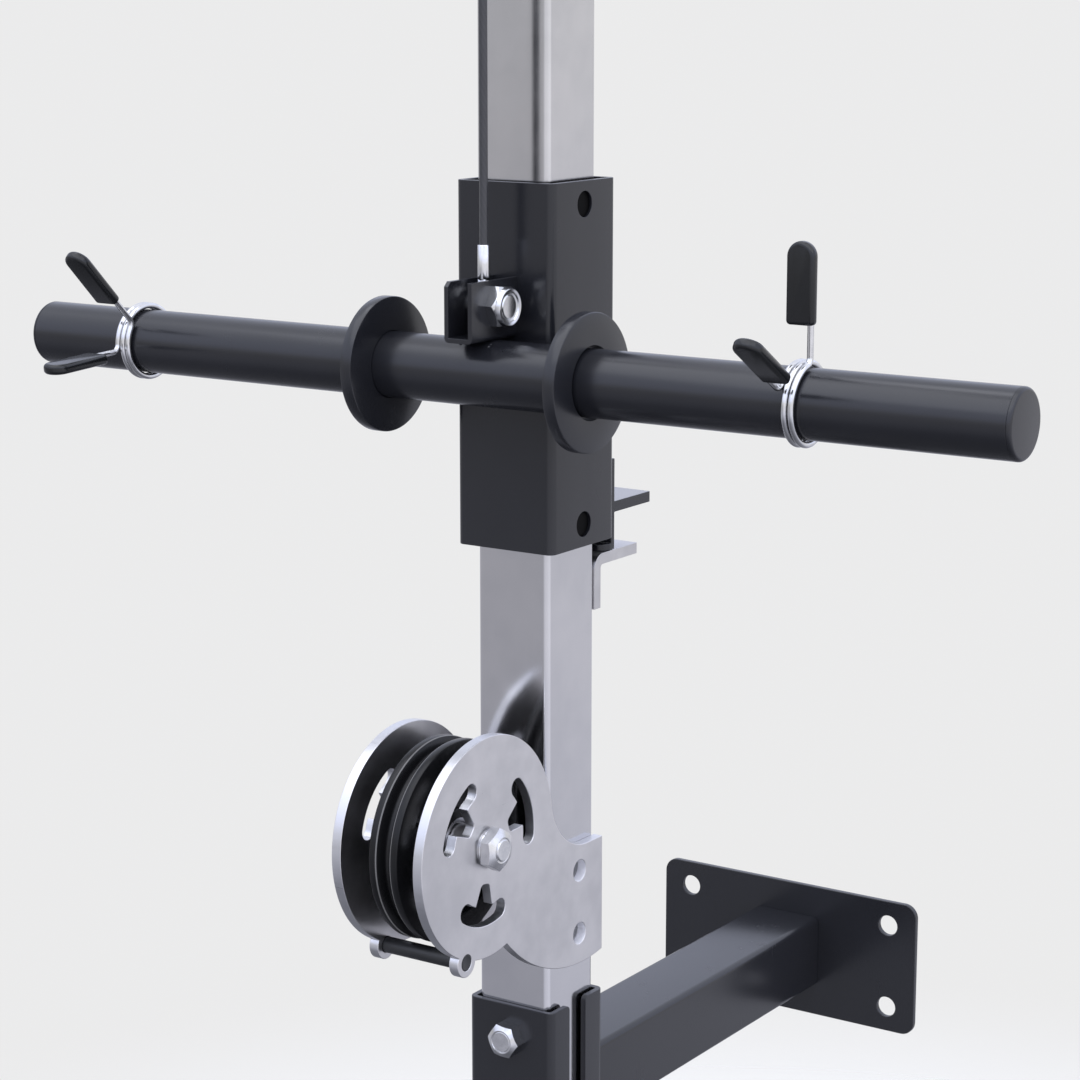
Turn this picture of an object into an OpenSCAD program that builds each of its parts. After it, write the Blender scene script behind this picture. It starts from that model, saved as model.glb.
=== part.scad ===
// Wall-mounted plate-loaded pulley tower: a square upright held off the wall by two brackets,
// a weight carriage that slides on it, a pulley block low down and one at the top, and a cable.
// Millimetres. X runs along the weight bar, Y goes into the wall and Z points up.
// The origin is the middle of the lower wall plate's back face, on the wall.

/* [Upright] */
// Width of the square upright tube
tube_w = 63.5; // [55:0.5:75]
// Wall of the upright tube
tube_wall = 3; // [2:0.5:4]
// Outer corner radius of the upright tube
tube_corner = 5; // [3:0.5:6]
// Bottom end of the upright, below the lower wall bracket's middle
upright_below = 110; // [95:5:180]
// Top end of the upright, above the upper wall bracket's middle
upright_above = 105; // [95:5:180]
// Distance from the wall to the upright's axis
wall_distance = 407.5; // [300:2.5:500]
// Height of the plastic end caps' heads
end_cap_t = 4; // [3:0.5:8]

/* [Wall brackets] */
// Height between the two wall brackets' middles
bracket_span = 1905; // [1800:5:2000]
// Height of each bracket's clamp channels
clamp_h = 164; // [150:2:180]
// Wall of the clamp channels
clamp_wall = 4.5; // [4:0.5:7]
// Depth of the front clamp channel's flanges, from the channel's back
front_clamp_depth = 25.5; // [18:0.5:30]
// Depth of the rear clamp channel's flanges, from the channel's back
rear_clamp_depth = 25.5; // [18:0.5:36]
// Corner radius of the clamp channels' flanges, at their open edges
flange_corner = 4; // [1:0.5:8]
// Outer corner radius of the clamp channels
clamp_corner = 6; // [6:0.5:10]
// Clearance between the clamp channels' backs and the upright
clamp_gap = 0.2; // [0.1:0.1:0.5]
// Clearance between the clamp channels' flanges and the upright's sides
clamp_side_gap = 2.1; // [0.5:0.1:2.5]
// Height between the two clamp bolts
clamp_bolt_pitch = 112; // [104:2:120]
// Diameter of the clamp bolts
clamp_bolt_d = 16; // [12:1:18]
// Size of the clamp bolts' hexagon across its flats
clamp_bolt_af = 24; // [20:1:27]
// Height of the clamp bolts' heads
clamp_head_h = 10; // [8:0.5:13]
// Wall of the square wall arm
arm_wall = 3; // [2:0.5:4]
// Width of the wall plate
plate_w = 254; // [220:1:300]
// Height of the wall plate
plate_h = 119; // [105:1:150]
// Thickness of the wall plate
plate_t = 5; // [4:0.5:8]
// Corner radius of the wall plate
plate_corner = 12; // [6:1:16]
// Distance between the wall plate's holes, sideways
plate_pitch_x = 200; // [180:5:206]
// Distance between the wall plate's holes, upwards
plate_pitch_z = 75; // [60:2.5:78]
// Diameter of the wall plate's holes
plate_hole_d = 18; // [12:1:20]

/* [Stop bracket] */
// Top of the stop bracket's ledge
stop_top = 425; // [415:1:440]
// Thickness of the stop bracket
stop_t = 8.5; // [6:0.5:10]
// Length of the stop bracket's ledge, from the upright's back
stop_ledge = 60; // [40:1:70]
// Height of the stop bracket's bolted leg
stop_leg = 42; // [38:1:60]
// Inner bend radius of the stop bracket
stop_bend = 3; // [1:0.5:5]
// Sideways distance between the stop bracket's bolts
stop_bolt_pitch = 30; // [24:1:34]
// Diameter of the stop bracket's bolts
stop_bolt_d = 10; // [8:1:12]

/* [Carriage] */
// Width of the square carriage sleeve
sleeve_w = 85; // [83:0.5:100]
// Wall of the carriage sleeve
sleeve_wall = 4; // [3:0.5:5]
// Outer corner radius of the carriage sleeve
sleeve_corner = 6; // [5:0.5:8]
// Height of the carriage sleeve
sleeve_h = 270; // [240:5:320]
// Gap under the carriage at rest
rest_gap = 0.4; // [0.3:0.1:1]
// Running clearance between the glides and the upright
glide_gap = 0.3; // [0.3:0.05:0.6]
// Height of each glide
glide_h = 56; // [45:1:80]
// Depth of the glides under the sleeve's rims
glide_inset = 5; // [3:0.5:6]
// Diameter of the glide bosses' holes in the sleeve
boss_hole_d = 19; // [14:0.5:22]
// Distance of those holes from the sleeve's rims
boss_inset = 17; // [15:0.5:24]
// Reach of the rear channel below the sleeve's foot
toe_below = 13; // [8:1:16]
// Wall of the rear channel
tab_t = 4.5; // [3:0.5:6]
// Depth of the rear channel behind the sleeve
tab_reach = 17; // [12:0.5:24]
// Height of the rear channel's back
tab_plate_h = 70; // [60:1:90]
// Length of the tab behind the rear channel
tab_len = 51; // [35:0.5:60]
// Thickness of the tab
tab_shelf_t = 8.5; // [6:0.5:10]
// Height of the tab's top above the channel's foot
tab_shelf_z = 37; // [30:0.5:50]
// Thickness of the landing plate at the channel's foot
landing_t = 5; // [3:0.5:7]
// Corner radius of the landing plate
landing_round = 9; // [2:0.5:12]
// Distance of the landing plate's front from the plane of the sleeve's back
landing_back = 2; // [0.5:0.5:4]

/* [Weight bar] */
// Diameter of the weight bar
bar_d = 49; // [46:0.5:50]
// Length of the weight bar, end to end
bar_len = 844; // [800:2:900]
// Wall of the weight bar
bar_wall = 5; // [3:0.5:8]
// Rounding of the bar's end rims
bar_round = 3; // [1:0.5:4]
// Height of the bar's axis above the sleeve's foot
bar_z = 134.5; // [110:0.5:150]
// Diameter of the plate stop discs
disc_d = 100; // [90:1:120]
// Thickness of the plate stop discs
disc_t = 10; // [8:0.5:14]
// Distance of the discs' inner faces from the middle
disc_x = 83; // [75:1:100]
// Diameter of the discs' shallow outer counterbore round the bar
disc_relief_d = 52.5; // [52:0.5:56]

/* [Cable clevis] */
// Width of the clevis channel
clevis_w = 24; // [22:0.5:30]
// Wall of the clevis channel
clevis_wall = 3.5; // [3:0.5:4.5]
// Height of the clevis channel
clevis_h = 43.5; // [40:0.5:52]
// Overhang of the clevis in front of the bar's front
clevis_front = 8; // [2:0.5:12]
// Height of the clevis bolt above the clevis's foot
clevis_bolt_z = 24.5; // [20:0.5:28]
// Diameter of the clevis bolt
clevis_bolt_d = 16; // [12:1:16]
// Size across the flats of the clevis and axle hexagons
big_nut_af = 28.5; // [24:0.5:30]
// Diameter of the cable ferrules
ferrule_d = 9; // [8:0.5:12]
// Length of the cable ferrules
ferrule_len = 26; // [20:1:36]

/* [Pulley blocks] */
// Height of the low pulley's axle
low_z = 237; // [225:1:250]
// Height of the upper bracket above the high pulley's axle
high_block_drop = 215; // [200:5:260]
// Distance of the low pulley's axle in front of the upright's axis
low_reach = 120; // [112:1:135]
// Radius of the side plates round the axle
side_r = 82.5; // [80:0.5:95]
// Thickness of the side plates
side_t = 8; // [6:0.5:10]
// Distance of the side plates' lobe edge nearest the axle's height
lobe_near = 30.5; // [24:0.5:40]
// Distance of the side plates' lobe edge furthest from the axle's height
lobe_far = 124; // [115:1:135]
// Distance of the first lobe hole from the axle's height
lobe_hole_1 = 50; // [45:1:55]
// Distance of the second lobe hole from the axle's height
lobe_hole_2 = 100; // [90:1:105]
// Diameter of the lobe holes
lobe_hole_d = 17; // [12:0.5:20]
// Radius of the concave blend between disc and lobe
lobe_blend = 50; // [40:1:60]
// Radius of the lobe's far edge
lobe_far_r = 140; // [130:1:160]
// Outer radius of the windows in the side plates
window_r_out = 58; // [52:0.5:62]
// Inner radius of the windows' long slot
window_r_in = 44; // [42:0.5:48]
// Radius of the windows' pocket floor
window_r_floor = 27; // [26:0.5:30]
// Distance of the guard rod from the axle
guard_r = 84; // [82:0.5:92]
// Diameter of the guard rod
guard_d = 12; // [8:0.5:14]
// Radius of the guard rod's lug
lug_r = 11; // [9:0.5:14]
// Outer diameter of the pulley wheels
wheel_d = 150; // [144:1:156]
// Width of the pulley wheels
wheel_w = 25; // [20:0.5:32]
// Width of the wheel's groove at its rim
groove_w = 12; // [10:0.5:16]
// Diameter of the wheel axles
axle_d = 16; // [12:1:18]
// Outer diameter of the wheel bearings
bearing_d = 35; // [30:1:42]
// Running clearance of the axle in its bearing
axle_fit = 0.05; // [0.02:0.01:0.1]

/* [Cable] */
// Diameter of the coated cable
cable_d = 6.3; // [4:0.1:8]
// Radius of the cable's centre line on the wheel
cable_turn_r = 70; // [69:0.25:72]
// Clearance between the cable and the wheel's groove
groove_gap = 0.35; // [0.3:0.05:0.6]
// Length of the cable's free end below the high axle at rest
tail_len = 150; // [130:5:250]
// Diameter of the stop ball
ball_d = 38; // [30:1:50]
// Thickness of the eye terminal's tongue
eye_t = 8; // [6:0.5:12]
// Diameter of the carabiner's rod
clip_rod_d = 8; // [6:0.5:10]
// Inner width of the carabiner
clip_inner_w = 24; // [20:1:40]
// Distance between the carabiner's bend centres
clip_straight = 44; // [36:1:70]

/* [Spring collars] */
// Diameter of the collars' spring wire
wire_d = 4.5; // [3.5:0.1:5]
// Gap between the coil's inside and the bar
coil_gap = 0.9; // [0.85:0.05:0.95]
// Pitch of the coil's turns
coil_pitch = 5.1; // [5.1:0.1:7]
// Offset of the arms' lines from the bar's axis
arm_offset = 4; // [0:0.5:6]
// Radius of the wire's bend into an arm
arm_bend = 6; // [5:0.5:8]
// Length of a grip
grip_len = 56; // [45:1:70]
// Width of a grip
grip_w = 19; // [16:0.5:24]
// Thickness of a grip
grip_t = 8; // [7:0.5:10]
// Distance of the upper grips' feet from the bar's axis
grip_foot_upper = 53; // [46:1:60]
// Distance of the right lower grip's foot from the bar's axis
right_grip_foot_lower = 47; // [41:1:62]
// Distance of the left lower grip's foot from the bar's axis
left_grip_foot_lower = 58; // [41:1:62]
// Depth of the wire in a grip
grip_hold = 18; // [12:1:30]
// Distance of the right collar from the bar's right end
right_collar_inset = 160; // [90:1:220]
// Angle of the right collar's upper arm above the front
right_upper_angle = 90; // [80:1:100]
// Angle of the right collar's lower arm above the front
right_lower_angle = 32; // [28:1:42]
// Distance of the left collar from the bar's left end
left_collar_inset = 100; // [90:1:220]
// Angle of the left collar's upper arm above the front
left_upper_angle = 45; // [38:1:60]
// Angle of the left collar's lower arm above the front
left_lower_angle = -3; // [-10:1:4]

/* [Hidden] */
$fn = 64;

// Small allowances and places that follow the plates' drawing
guard_angle = 250;
lobe_shift = 5;
blend_steps = 16;
contact_relief = 0.1;
hole_play = 0.3;
edge_round = 2;
cut_over = 1;

// Small fixed sizes: plugs, nuts, bolt ends, welds and the eye terminals' rims and necks
cap_plug_h = 12;
bar_spigot = 10;
nut_h = 9;
nut_collar_h = 3;
bolt_end = 4;
weld_leg = 9;
clevis_weld_w = 4;
clevis_weld_h = 7;
eye_rim = 5;
eye_neck = 4;
grip_skin = 1;

// The wheel's rim and hub walls, the web's half thickness, and the carabiner's stubs
rim_wall = 9;
hub_wall = 7;
web_half = 5;
clip_stub = 6;
clip_seat = 0.8;
gate_slim = 1.5;

// Heights and depths worked out from the driving sizes
axis_y = -wall_distance;
upper_z = bracket_span;
upright_bottom = -upright_below;
upright_top = upper_z + upright_above;
upright_len = upright_top - upright_bottom;
side_x = tube_w / 2;
clamp_half = tube_w / 2 + clamp_gap + clamp_wall;
arm_len = wall_distance - plate_t - clamp_half;
sleeve_foot = stop_top + rest_gap + toe_below;
sleeve_half = sleeve_w / 2;
bar_r = bar_d / 2;
bar_y = axis_y - sleeve_half - bar_r;
bar_axis_z = sleeve_foot + bar_z;
bar_half = bar_len / 2;
right_collar_x = bar_half - right_collar_inset;
left_collar_x = bar_half - left_collar_inset;
clevis_foot = bar_axis_z + bar_r;
clevis_axis_z = clevis_foot + clevis_bolt_z;
clevis_front_y = bar_y - bar_r - clevis_front;
clevis_depth = axis_y - sleeve_half - clevis_front_y;
clevis_eye_hole = clevis_bolt_d + 2 * hole_play;
ferrule_foot = clevis_axis_z + tongue_of(clevis_eye_hole);
cable_end_z = ferrule_foot + ferrule_len / 2;
high_z = upper_z - high_block_drop;
high_reach = axis_y - bar_y + cable_turn_r;
high_y = axis_y - high_reach;
low_y = axis_y - low_reach;
tail_y = high_y - cable_turn_r;
tail_end_z = high_z - tail_len;
cable_r = cable_d / 2;
groove_floor = cable_turn_r - cable_r - groove_gap;
side_in = side_x;
side_out = side_x + side_t;
spacer_len = side_in - wheel_w / 2 - groove_gap;
wire_r = wire_d / 2;
coil_r = bar_r + coil_gap + wire_r;
coil_turns = 2;
coil_rings = 48;
wire_sides = 8;
bend_rings = 7;
clip_bend_r = clip_inner_w / 2 + clip_rod_d / 2;
tail_eye_hole = clip_rod_d + 4;
tail_eye_z = tail_end_z - ferrule_len / 2 - tongue_of(tail_eye_hole);
clip_top_z = tail_eye_z - clip_seat;

// The length of an eye terminal from its hole's middle to its ferrule
function tongue_of(hole_d) = hole_d / 2 + eye_rim + eye_neck;

// Plane outlines

// A rectangle about the origin with round corners
module round_rect(w, h, r) {
    union() {
        square([w - 2 * r, h], center = true);
        square([w, h - 2 * r], center = true);
        for (x = [-1, 1], y = [-1, 1])
            translate([x * (w / 2 - r), y * (h / 2 - r)]) circle(r);
    }
}

// A square tube's section, whose inner corners follow its wall
module tube_section(w, wall, r) {
    difference() {
        round_rect(w, w, r);
        round_rect(w - 2 * wall, w - 2 * wall, max(r - wall, 0.5));
    }
}

// A hexagonal prism along Z with two corners on X
module hexagon(across_flats, h) {
    cylinder(d = across_flats / cos(30), h = h, $fn = 6);
}

// A point at a radius and an angle
function at_polar(r, a) = [r * cos(a), r * sin(a)];

// Frame pieces

module upright() {
    color("silver")
    difference() {
        translate([0, axis_y, upright_bottom])
            linear_extrude(upright_len) tube_section(tube_w, tube_wall, tube_corner);
        for (bracket = [0, upper_z]) clamp_bolt_holes(bracket);
        for (side = [-1, 1], z = [low_z - lobe_hole_1, low_z - lobe_hole_2,
                high_z + lobe_hole_1, high_z + lobe_hole_2])
            translate([side * side_x, axis_y, z]) rotate([0, 90, 0])
                cylinder(d = lobe_hole_d, h = 3 * tube_wall, center = true);
        for (x = [-1, 1])
            translate([x * stop_bolt_pitch / 2, axis_y + side_x, stop_bolt_height()])
                rotate([90, 0, 0])
                    cylinder(d = stop_bolt_d + hole_play, h = 3 * tube_wall, center = true);
    }
}

// The stop bracket's bolts sit in the middle of its leg
function stop_bolt_height() = stop_top - stop_t - (stop_leg - stop_t) / 2;

module clamp_bolt_holes(bracket) {
    for (z = [-1, 1])
        translate([0, axis_y, bracket + z * clamp_bolt_pitch / 2]) rotate([90, 0, 0])
            cylinder(d = clamp_bolt_d + hole_play, h = 3 * tube_w, center = true);
}

// A plug with a flat head that closes the upright's end
module end_cap(z, up) {
    plug_w = tube_w - 2 * tube_wall - contact_relief;
    color("dimgray")
    translate([0, axis_y, z]) {
        translate([0, 0, up > 0 ? 0 : -end_cap_t])
            linear_extrude(end_cap_t) round_rect(tube_w, tube_w, tube_corner);
        translate([0, 0, up > 0 ? -cap_plug_h : 0])
            linear_extrude(cap_plug_h) round_rect(plug_w, plug_w, max(tube_corner - tube_wall, 0.5));
    }
}

module top_cap() { end_cap(upright_top, 1); }

module bottom_cap() { end_cap(upright_bottom, -1); }

// A channel's section open toward the wall, with its back in front of the upright
module clamp_section(depth) {
    half_w = tube_w / 2 + clamp_side_gap + clamp_wall;
    difference() {
        round_rect(2 * half_w, 2 * clamp_half, clamp_corner);
        round_rect(2 * (half_w - clamp_wall), 2 * (clamp_half - clamp_wall),
            max(clamp_corner - clamp_wall, 0.5));
        translate([-2 * half_w, depth - clamp_half]) square([4 * half_w, 4 * clamp_half]);
    }
}

// The channel with the corners of its two flanges rounded
module clamp_channel(depth) {
    run = depth + 2 * flange_corner;
    intersection() {
        linear_extrude(clamp_h, center = true) clamp_section(depth);
        translate([0, depth - clamp_half - run / 2, 0]) rotate([90, 0, 90])
            linear_extrude(2 * tube_w, center = true) round_rect(run, clamp_h, flange_corner);
    }
}

module front_clamp(z) {
    color("dimgray")
    difference() {
        translate([0, axis_y, z]) clamp_channel(front_clamp_depth);
        clamp_bolt_holes(z);
    }
}

module rear_clamp(z) {
    color("dimgray")
    difference() {
        translate([0, axis_y, z]) rotate(180) clamp_channel(rear_clamp_depth);
        clamp_bolt_holes(z);
    }
}

module wall_arm(z) {
    color("dimgray")
    translate([0, axis_y + clamp_half, z]) rotate([-90, 0, 0])
        linear_extrude(arm_len) tube_section(tube_w, arm_wall, tube_corner);
}

module wall_plate(z) {
    color("dimgray")
    translate([0, 0, z]) rotate([90, 0, 0]) linear_extrude(plate_t) difference() {
        round_rect(plate_w, plate_h, plate_corner);
        for (x = [-1, 1], y = [-1, 1])
            translate([x * plate_pitch_x / 2, y * plate_pitch_z / 2]) circle(d = plate_hole_d);
    }
}

module clamp_bolts(z) {
    color("gainsboro")
    for (s = [-1, 1])
        translate([0, axis_y - clamp_half, z + s * clamp_bolt_pitch / 2]) rotate([90, 0, 0]) {
            rotate(30) hexagon(clamp_bolt_af, clamp_head_h);
            translate([0, 0, -2 * clamp_half - nut_h - bolt_end])
                cylinder(d = clamp_bolt_d, h = 2 * clamp_half + nut_h + bolt_end);
        }
}

module clamp_nuts(z) {
    color("gainsboro")
    for (s = [-1, 1])
        translate([0, axis_y + clamp_half, z + s * clamp_bolt_pitch / 2]) rotate([-90, 0, 0])
            difference() {
                hexagon(clamp_bolt_af, nut_h + nut_collar_h);
                translate([0, 0, -cut_over])
                    cylinder(d = clamp_bolt_d + contact_relief, h = nut_h + nut_collar_h + 2 * cut_over);
            }
}

// An angle with a round outer bend: its ledge stops the carriage, its leg is bolted on
module stop_bracket() {
    outer = stop_bend + stop_t;
    color("silver")
    translate([0, axis_y + side_x, stop_top])
    difference() {
        rotate([90, 0, 90]) linear_extrude(tube_w, center = true) difference() {
            union() {
                translate([outer, -stop_t]) square([stop_ledge - outer, stop_t]);
                translate([0, -stop_leg]) square([stop_t, stop_leg - outer]);
                intersection() {
                    translate([outer, -outer]) circle(outer);
                    translate([0, -outer]) square(outer);
                }
            }
            translate([outer, -outer]) circle(stop_bend);
        }
        for (x = [-1, 1])
            translate([x * stop_bolt_pitch / 2, stop_t / 2, stop_bolt_height() - stop_top])
                rotate([90, 0, 0])
                    cylinder(d = stop_bolt_d + hole_play, h = 2 * stop_t, center = true);
    }
}

module stop_bracket_bolts() {
    color("gainsboro")
    for (x = [-1, 1])
        translate([x * stop_bolt_pitch / 2, axis_y + side_x + stop_t, stop_bolt_height()])
            rotate([-90, 0, 0]) {
                cylinder(d = 1.6 * stop_bolt_d, h = 0.6 * stop_bolt_d);
                translate([0, 0, -stop_t - 2 * tube_wall])
                    cylinder(d = stop_bolt_d, h = stop_t + 2 * tube_wall);
            }
}

// Pulley blocks

// One window: a long slot with round ends and a pocket that reaches in toward the axle
module window() {
    mid = (window_r_out + window_r_in) / 2;
    half = (window_r_out - window_r_in) / 2;
    slot_from = -4;
    slot_to = 45;
    pocket_a = 17;
    pocket_b = 24.5;
    pocket_r = 4;
    pa = at_polar(window_r_floor + pocket_r, pocket_a);
    pb = at_polar(window_r_floor + pocket_r, pocket_b);
    far = 2 * window_r_out;
    intersection() {
        difference() {
            circle(window_r_out);
            circle(window_r_in);
        }
        polygon([[0, 0], at_polar(far, slot_from), at_polar(far, slot_to)]);
    }
    for (a = [slot_from, slot_to]) translate(at_polar(mid, a)) circle(half);
    for (p = [pa, pb]) translate(p) circle(pocket_r);
    polygon([at_polar(window_r_in + 2, 7.5), pa + at_polar(pocket_r, pocket_a - 100),
        pa - at_polar(pocket_r, pocket_a), pb - at_polar(pocket_r, pocket_b),
        pb + at_polar(pocket_r, pocket_b + 105), at_polar(window_r_in + 2, 35)]);
}

// A side plate's disc, lug and lobe: X goes back from the axle and Y up, with the lobe below
module side_blank(reach) {
    back = reach + side_x;
    rotate(90) circle(side_r);
    translate(at_polar(guard_r, guard_angle)) circle(lug_r);
    intersection() {
        translate([0, -lobe_far]) square([back, lobe_far - lobe_near]);
        translate([reach + lobe_shift, lobe_far_r - lobe_far]) circle(lobe_far_r);
    }
}

// The web that fills the corner between the disc and the lobe with a concave edge
module side_web() {
    blend_y = lobe_blend - lobe_near;
    blend_x = sqrt(pow(side_r + lobe_blend, 2) - pow(blend_y, 2));
    blend_from = 180 + atan2(blend_y, blend_x);
    web_foot = -lobe_near - edge_round;
    polygon(concat([[side_r / 2, 0],
        [blend_x, blend_y] * (side_r - edge_round) / (side_r + lobe_blend)],
        [for (k = [1 : blend_steps])
            [blend_x, blend_y]
                + at_polar(lobe_blend, blend_from + (270 - blend_from) * k / blend_steps)],
        [[blend_x, web_foot], [side_r / 2, web_foot]]));
}

// The openings in a side plate
module side_openings(reach) {
    circle(d = axle_d + hole_play);
    translate(at_polar(guard_r, guard_angle)) circle(d = guard_d + contact_relief);
    for (a = [0, 120, 240]) rotate(a) window();
    for (y = [lobe_hole_1, lobe_hole_2]) translate([reach, -y]) circle(d = lobe_hole_d);
}

// A block's side plate: side is -1 or 1, up is 1 where the lobe is above the axle
module side_plate(side, y, z, reach, up) {
    color("silver")
    translate([side * (side_in + side_t / 2), y, z]) rotate([90, 0, 90])
        difference() {
            union() {
                linear_extrude(side_t, center = true) scale([1, -up]) side_blank(reach);
                linear_extrude(side_t, center = true) scale([1, -up]) side_web();
            }
            linear_extrude(2 * side_t, center = true) scale([1, -up]) side_openings(reach);
        }
}

// The guard rod's place about the axle
function guard_at(up) = [guard_r * cos(guard_angle), -up * guard_r * sin(guard_angle)];

module guard_rod(y, z, up) {
    g = guard_at(up);
    color("dimgray")
    translate([0, y + g[0], z + g[1]]) rotate([0, 90, 0])
        cylinder(d = guard_d, h = 2 * side_out, center = true);
}

// The axle's hexagon head is on the left, its nut and washer on the right
module axle_bolt(y, z) {
    tail = nut_h + nut_collar_h - 1;
    color("gainsboro")
    translate([-side_out, y, z]) rotate([0, 90, 0]) {
        cylinder(d = axle_d, h = 2 * side_out + tail);
        translate([0, 0, -clamp_head_h]) hexagon(big_nut_af, clamp_head_h);
    }
}

// A nut with a round washer face under it and a round locking collar on it, along Z
module lock_nut(bore) {
    washer_h = 2;
    difference() {
        union() {
            cylinder(d = 1.16 * big_nut_af, h = washer_h);
            translate([0, 0, washer_h]) hexagon(big_nut_af, nut_h - washer_h);
            translate([0, 0, nut_h]) cylinder(d = 0.86 * big_nut_af, h = nut_collar_h);
        }
        translate([0, 0, -cut_over])
            cylinder(d = bore + contact_relief, h = nut_h + nut_collar_h + 2 * cut_over);
    }
}

module axle_nut(y, z) {
    color("gainsboro")
    translate([side_out, y, z]) rotate([0, 90, 0]) lock_nut(axle_d);
}

module axle_spacers(y, z) {
    color("silver")
    for (side = [-1, 1])
        translate([side * (side_in - spacer_len / 2), y, z]) rotate([0, 90, 0])
            difference() {
                cylinder(d = 1.7 * axle_d, h = spacer_len, center = true);
                cylinder(d = axle_d + contact_relief, h = spacer_len + cut_over, center = true);
            }
}

// The wheel's half section: a hub, a thinner web and a grooved rim
module wheel_section() {
    rim_in = groove_floor - rim_wall;
    hub_r = bearing_d / 2 + hub_wall;
    half_w = wheel_w / 2;
    wheel_r = wheel_d / 2;
    seat_r = cable_r + groove_gap;
    difference() {
        union() {
            translate([bearing_d / 2, -half_w]) square([hub_r - bearing_d / 2, wheel_w]);
            translate([hub_r - cut_over, -web_half])
                square([rim_in - hub_r + 2 * cut_over, 2 * web_half]);
            translate([rim_in, -half_w]) square([wheel_r - rim_in - edge_round / 2, wheel_w]);
            translate([rim_in, -half_w + edge_round / 2])
                square([wheel_r - rim_in, wheel_w - edge_round]);
            for (s = [-1, 1])
                translate([wheel_r - edge_round / 2, s * (half_w - edge_round / 2)])
                    circle(edge_round / 2);
        }
        translate([groove_floor + seat_r, 0]) circle(seat_r);
        polygon([[groove_floor + seat_r, -seat_r], [wheel_r + cut_over, -groove_w / 2],
            [wheel_r + cut_over, groove_w / 2], [groove_floor + seat_r, seat_r]]);
    }
}

module wheel(y, z) {
    color("dimgray")
    translate([0, y, z]) rotate([0, 90, 0]) rotate_extrude($fn = 128) wheel_section();
}

module bearing(y, z) {
    color("silver")
    translate([0, y, z]) rotate([0, 90, 0]) difference() {
        cylinder(d = bearing_d - contact_relief, h = wheel_w, center = true);
        cylinder(d = axle_d + 2 * axle_fit, h = wheel_w + cut_over, center = true);
    }
}

// Carriage pieces

module sleeve() {
    color("dimgray")
    difference() {
        translate([0, axis_y, sleeve_foot])
            linear_extrude(sleeve_h) tube_section(sleeve_w, sleeve_wall, sleeve_corner);
        for (z = [boss_inset, sleeve_h - boss_inset])
            translate([0, axis_y, sleeve_foot + z]) rotate([0, 90, 0])
                cylinder(d = boss_hole_d, h = 2 * sleeve_w, center = true);
    }
}

// A plastic liner between sleeve and upright, with a round boss in each side hole
module glide(z, boss_z) {
    outer = sleeve_w - 2 * sleeve_wall - 2 * contact_relief;
    inner = tube_w + 2 * glide_gap;
    color("black")
    translate([0, axis_y, 0]) difference() {
        union() {
            translate([0, 0, z]) linear_extrude(glide_h)
                round_rect(outer, outer, max(sleeve_corner - sleeve_wall, 0.5));
            translate([0, 0, boss_z]) rotate([0, 90, 0])
                cylinder(d = boss_hole_d - 2 * contact_relief, h = sleeve_w - sleeve_wall,
                    center = true);
        }
        translate([0, 0, z - cut_over]) linear_extrude(glide_h + 2 * cut_over)
            round_rect(inner, inner, tube_corner);
    }
}

module upper_glide() {
    glide(sleeve_foot + sleeve_h - glide_inset - glide_h, sleeve_foot + sleeve_h - boss_inset);
}

module lower_glide() { glide(sleeve_foot + glide_inset, sleeve_foot + boss_inset); }

// The channel behind the sleeve, as wide as the upright, with its tab, and with the landing
// plate at its foot that meets the stop bracket's ledge
module rear_tab() {
    back_y = axis_y + sleeve_half;
    foot = stop_top + rest_gap;
    color("dimgray") union() {
        translate([-tube_w / 2, back_y + tab_reach - tab_t, foot])
            cube([tube_w, tab_t, tab_plate_h]);
        for (s = [-1, 1])
            translate([s * (tube_w - tab_t) / 2 - tab_t / 2, back_y, sleeve_foot])
                cube([tab_t, tab_reach - tab_t + cut_over, tab_plate_h - toe_below]);
        translate([-tube_w / 2, back_y + tab_reach - cut_over, foot + tab_shelf_z - tab_shelf_t])
            cube([tube_w, tab_len + cut_over, tab_shelf_t]);
        translate([0, back_y + tab_reach - tab_t / 2, foot]) linear_extrude(landing_t)
            landing_outline(tab_reach - tab_t / 2 - landing_back);
    }
}

// A plate's outline from the channel's back forward, with round front corners
module landing_outline(depth) {
    r = min(landing_round, depth - 1);
    intersection() {
        round_rect(tube_w, 2 * depth, r);
        translate([-tube_w, -2 * depth]) square([2 * tube_w, 2 * depth]);
    }
}

// The bar is a tube, with a shallow weld groove under each disc's tight half
module weight_bar() {
    groove_from = disc_x + 0.5;
    groove_to = disc_x + disc_t / 2 + 0.5;
    color("dimgray")
    translate([0, bar_y, bar_axis_z]) rotate([0, 90, 0]) difference() {
        cylinder(r = bar_r, h = bar_len - 2 * bar_round, center = true, $fn = 96);
        cylinder(r = bar_r - bar_wall, h = bar_len, center = true);
        for (s = [-1, 1])
            translate([0, 0, s * (groove_from + groove_to) / 2]) difference() {
                cylinder(r = bar_r + cut_over, h = groove_to - groove_from, center = true);
                cylinder(r = bar_r - 0.3, h = disc_t, center = true);
            }
    }
}

// A welded end cap: a flat face with a round rim and a spigot in the tube
module bar_end_caps() {
    color("dimgray")
    for (s = [-1, 1])
        translate([s * (bar_half - bar_round), bar_y, bar_axis_z]) rotate([0, s * 90, 0])
            rotate_extrude($fn = 96) union() {
                translate([0, -bar_spigot])
                    square([bar_r - bar_wall - contact_relief, bar_spigot]);
                square([bar_r - bar_round, bar_round]);
                intersection() {
                    translate([bar_r - bar_round, 0]) circle(bar_round);
                    translate([bar_r - bar_round, 0]) square(bar_round);
                }
            }
}

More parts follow.
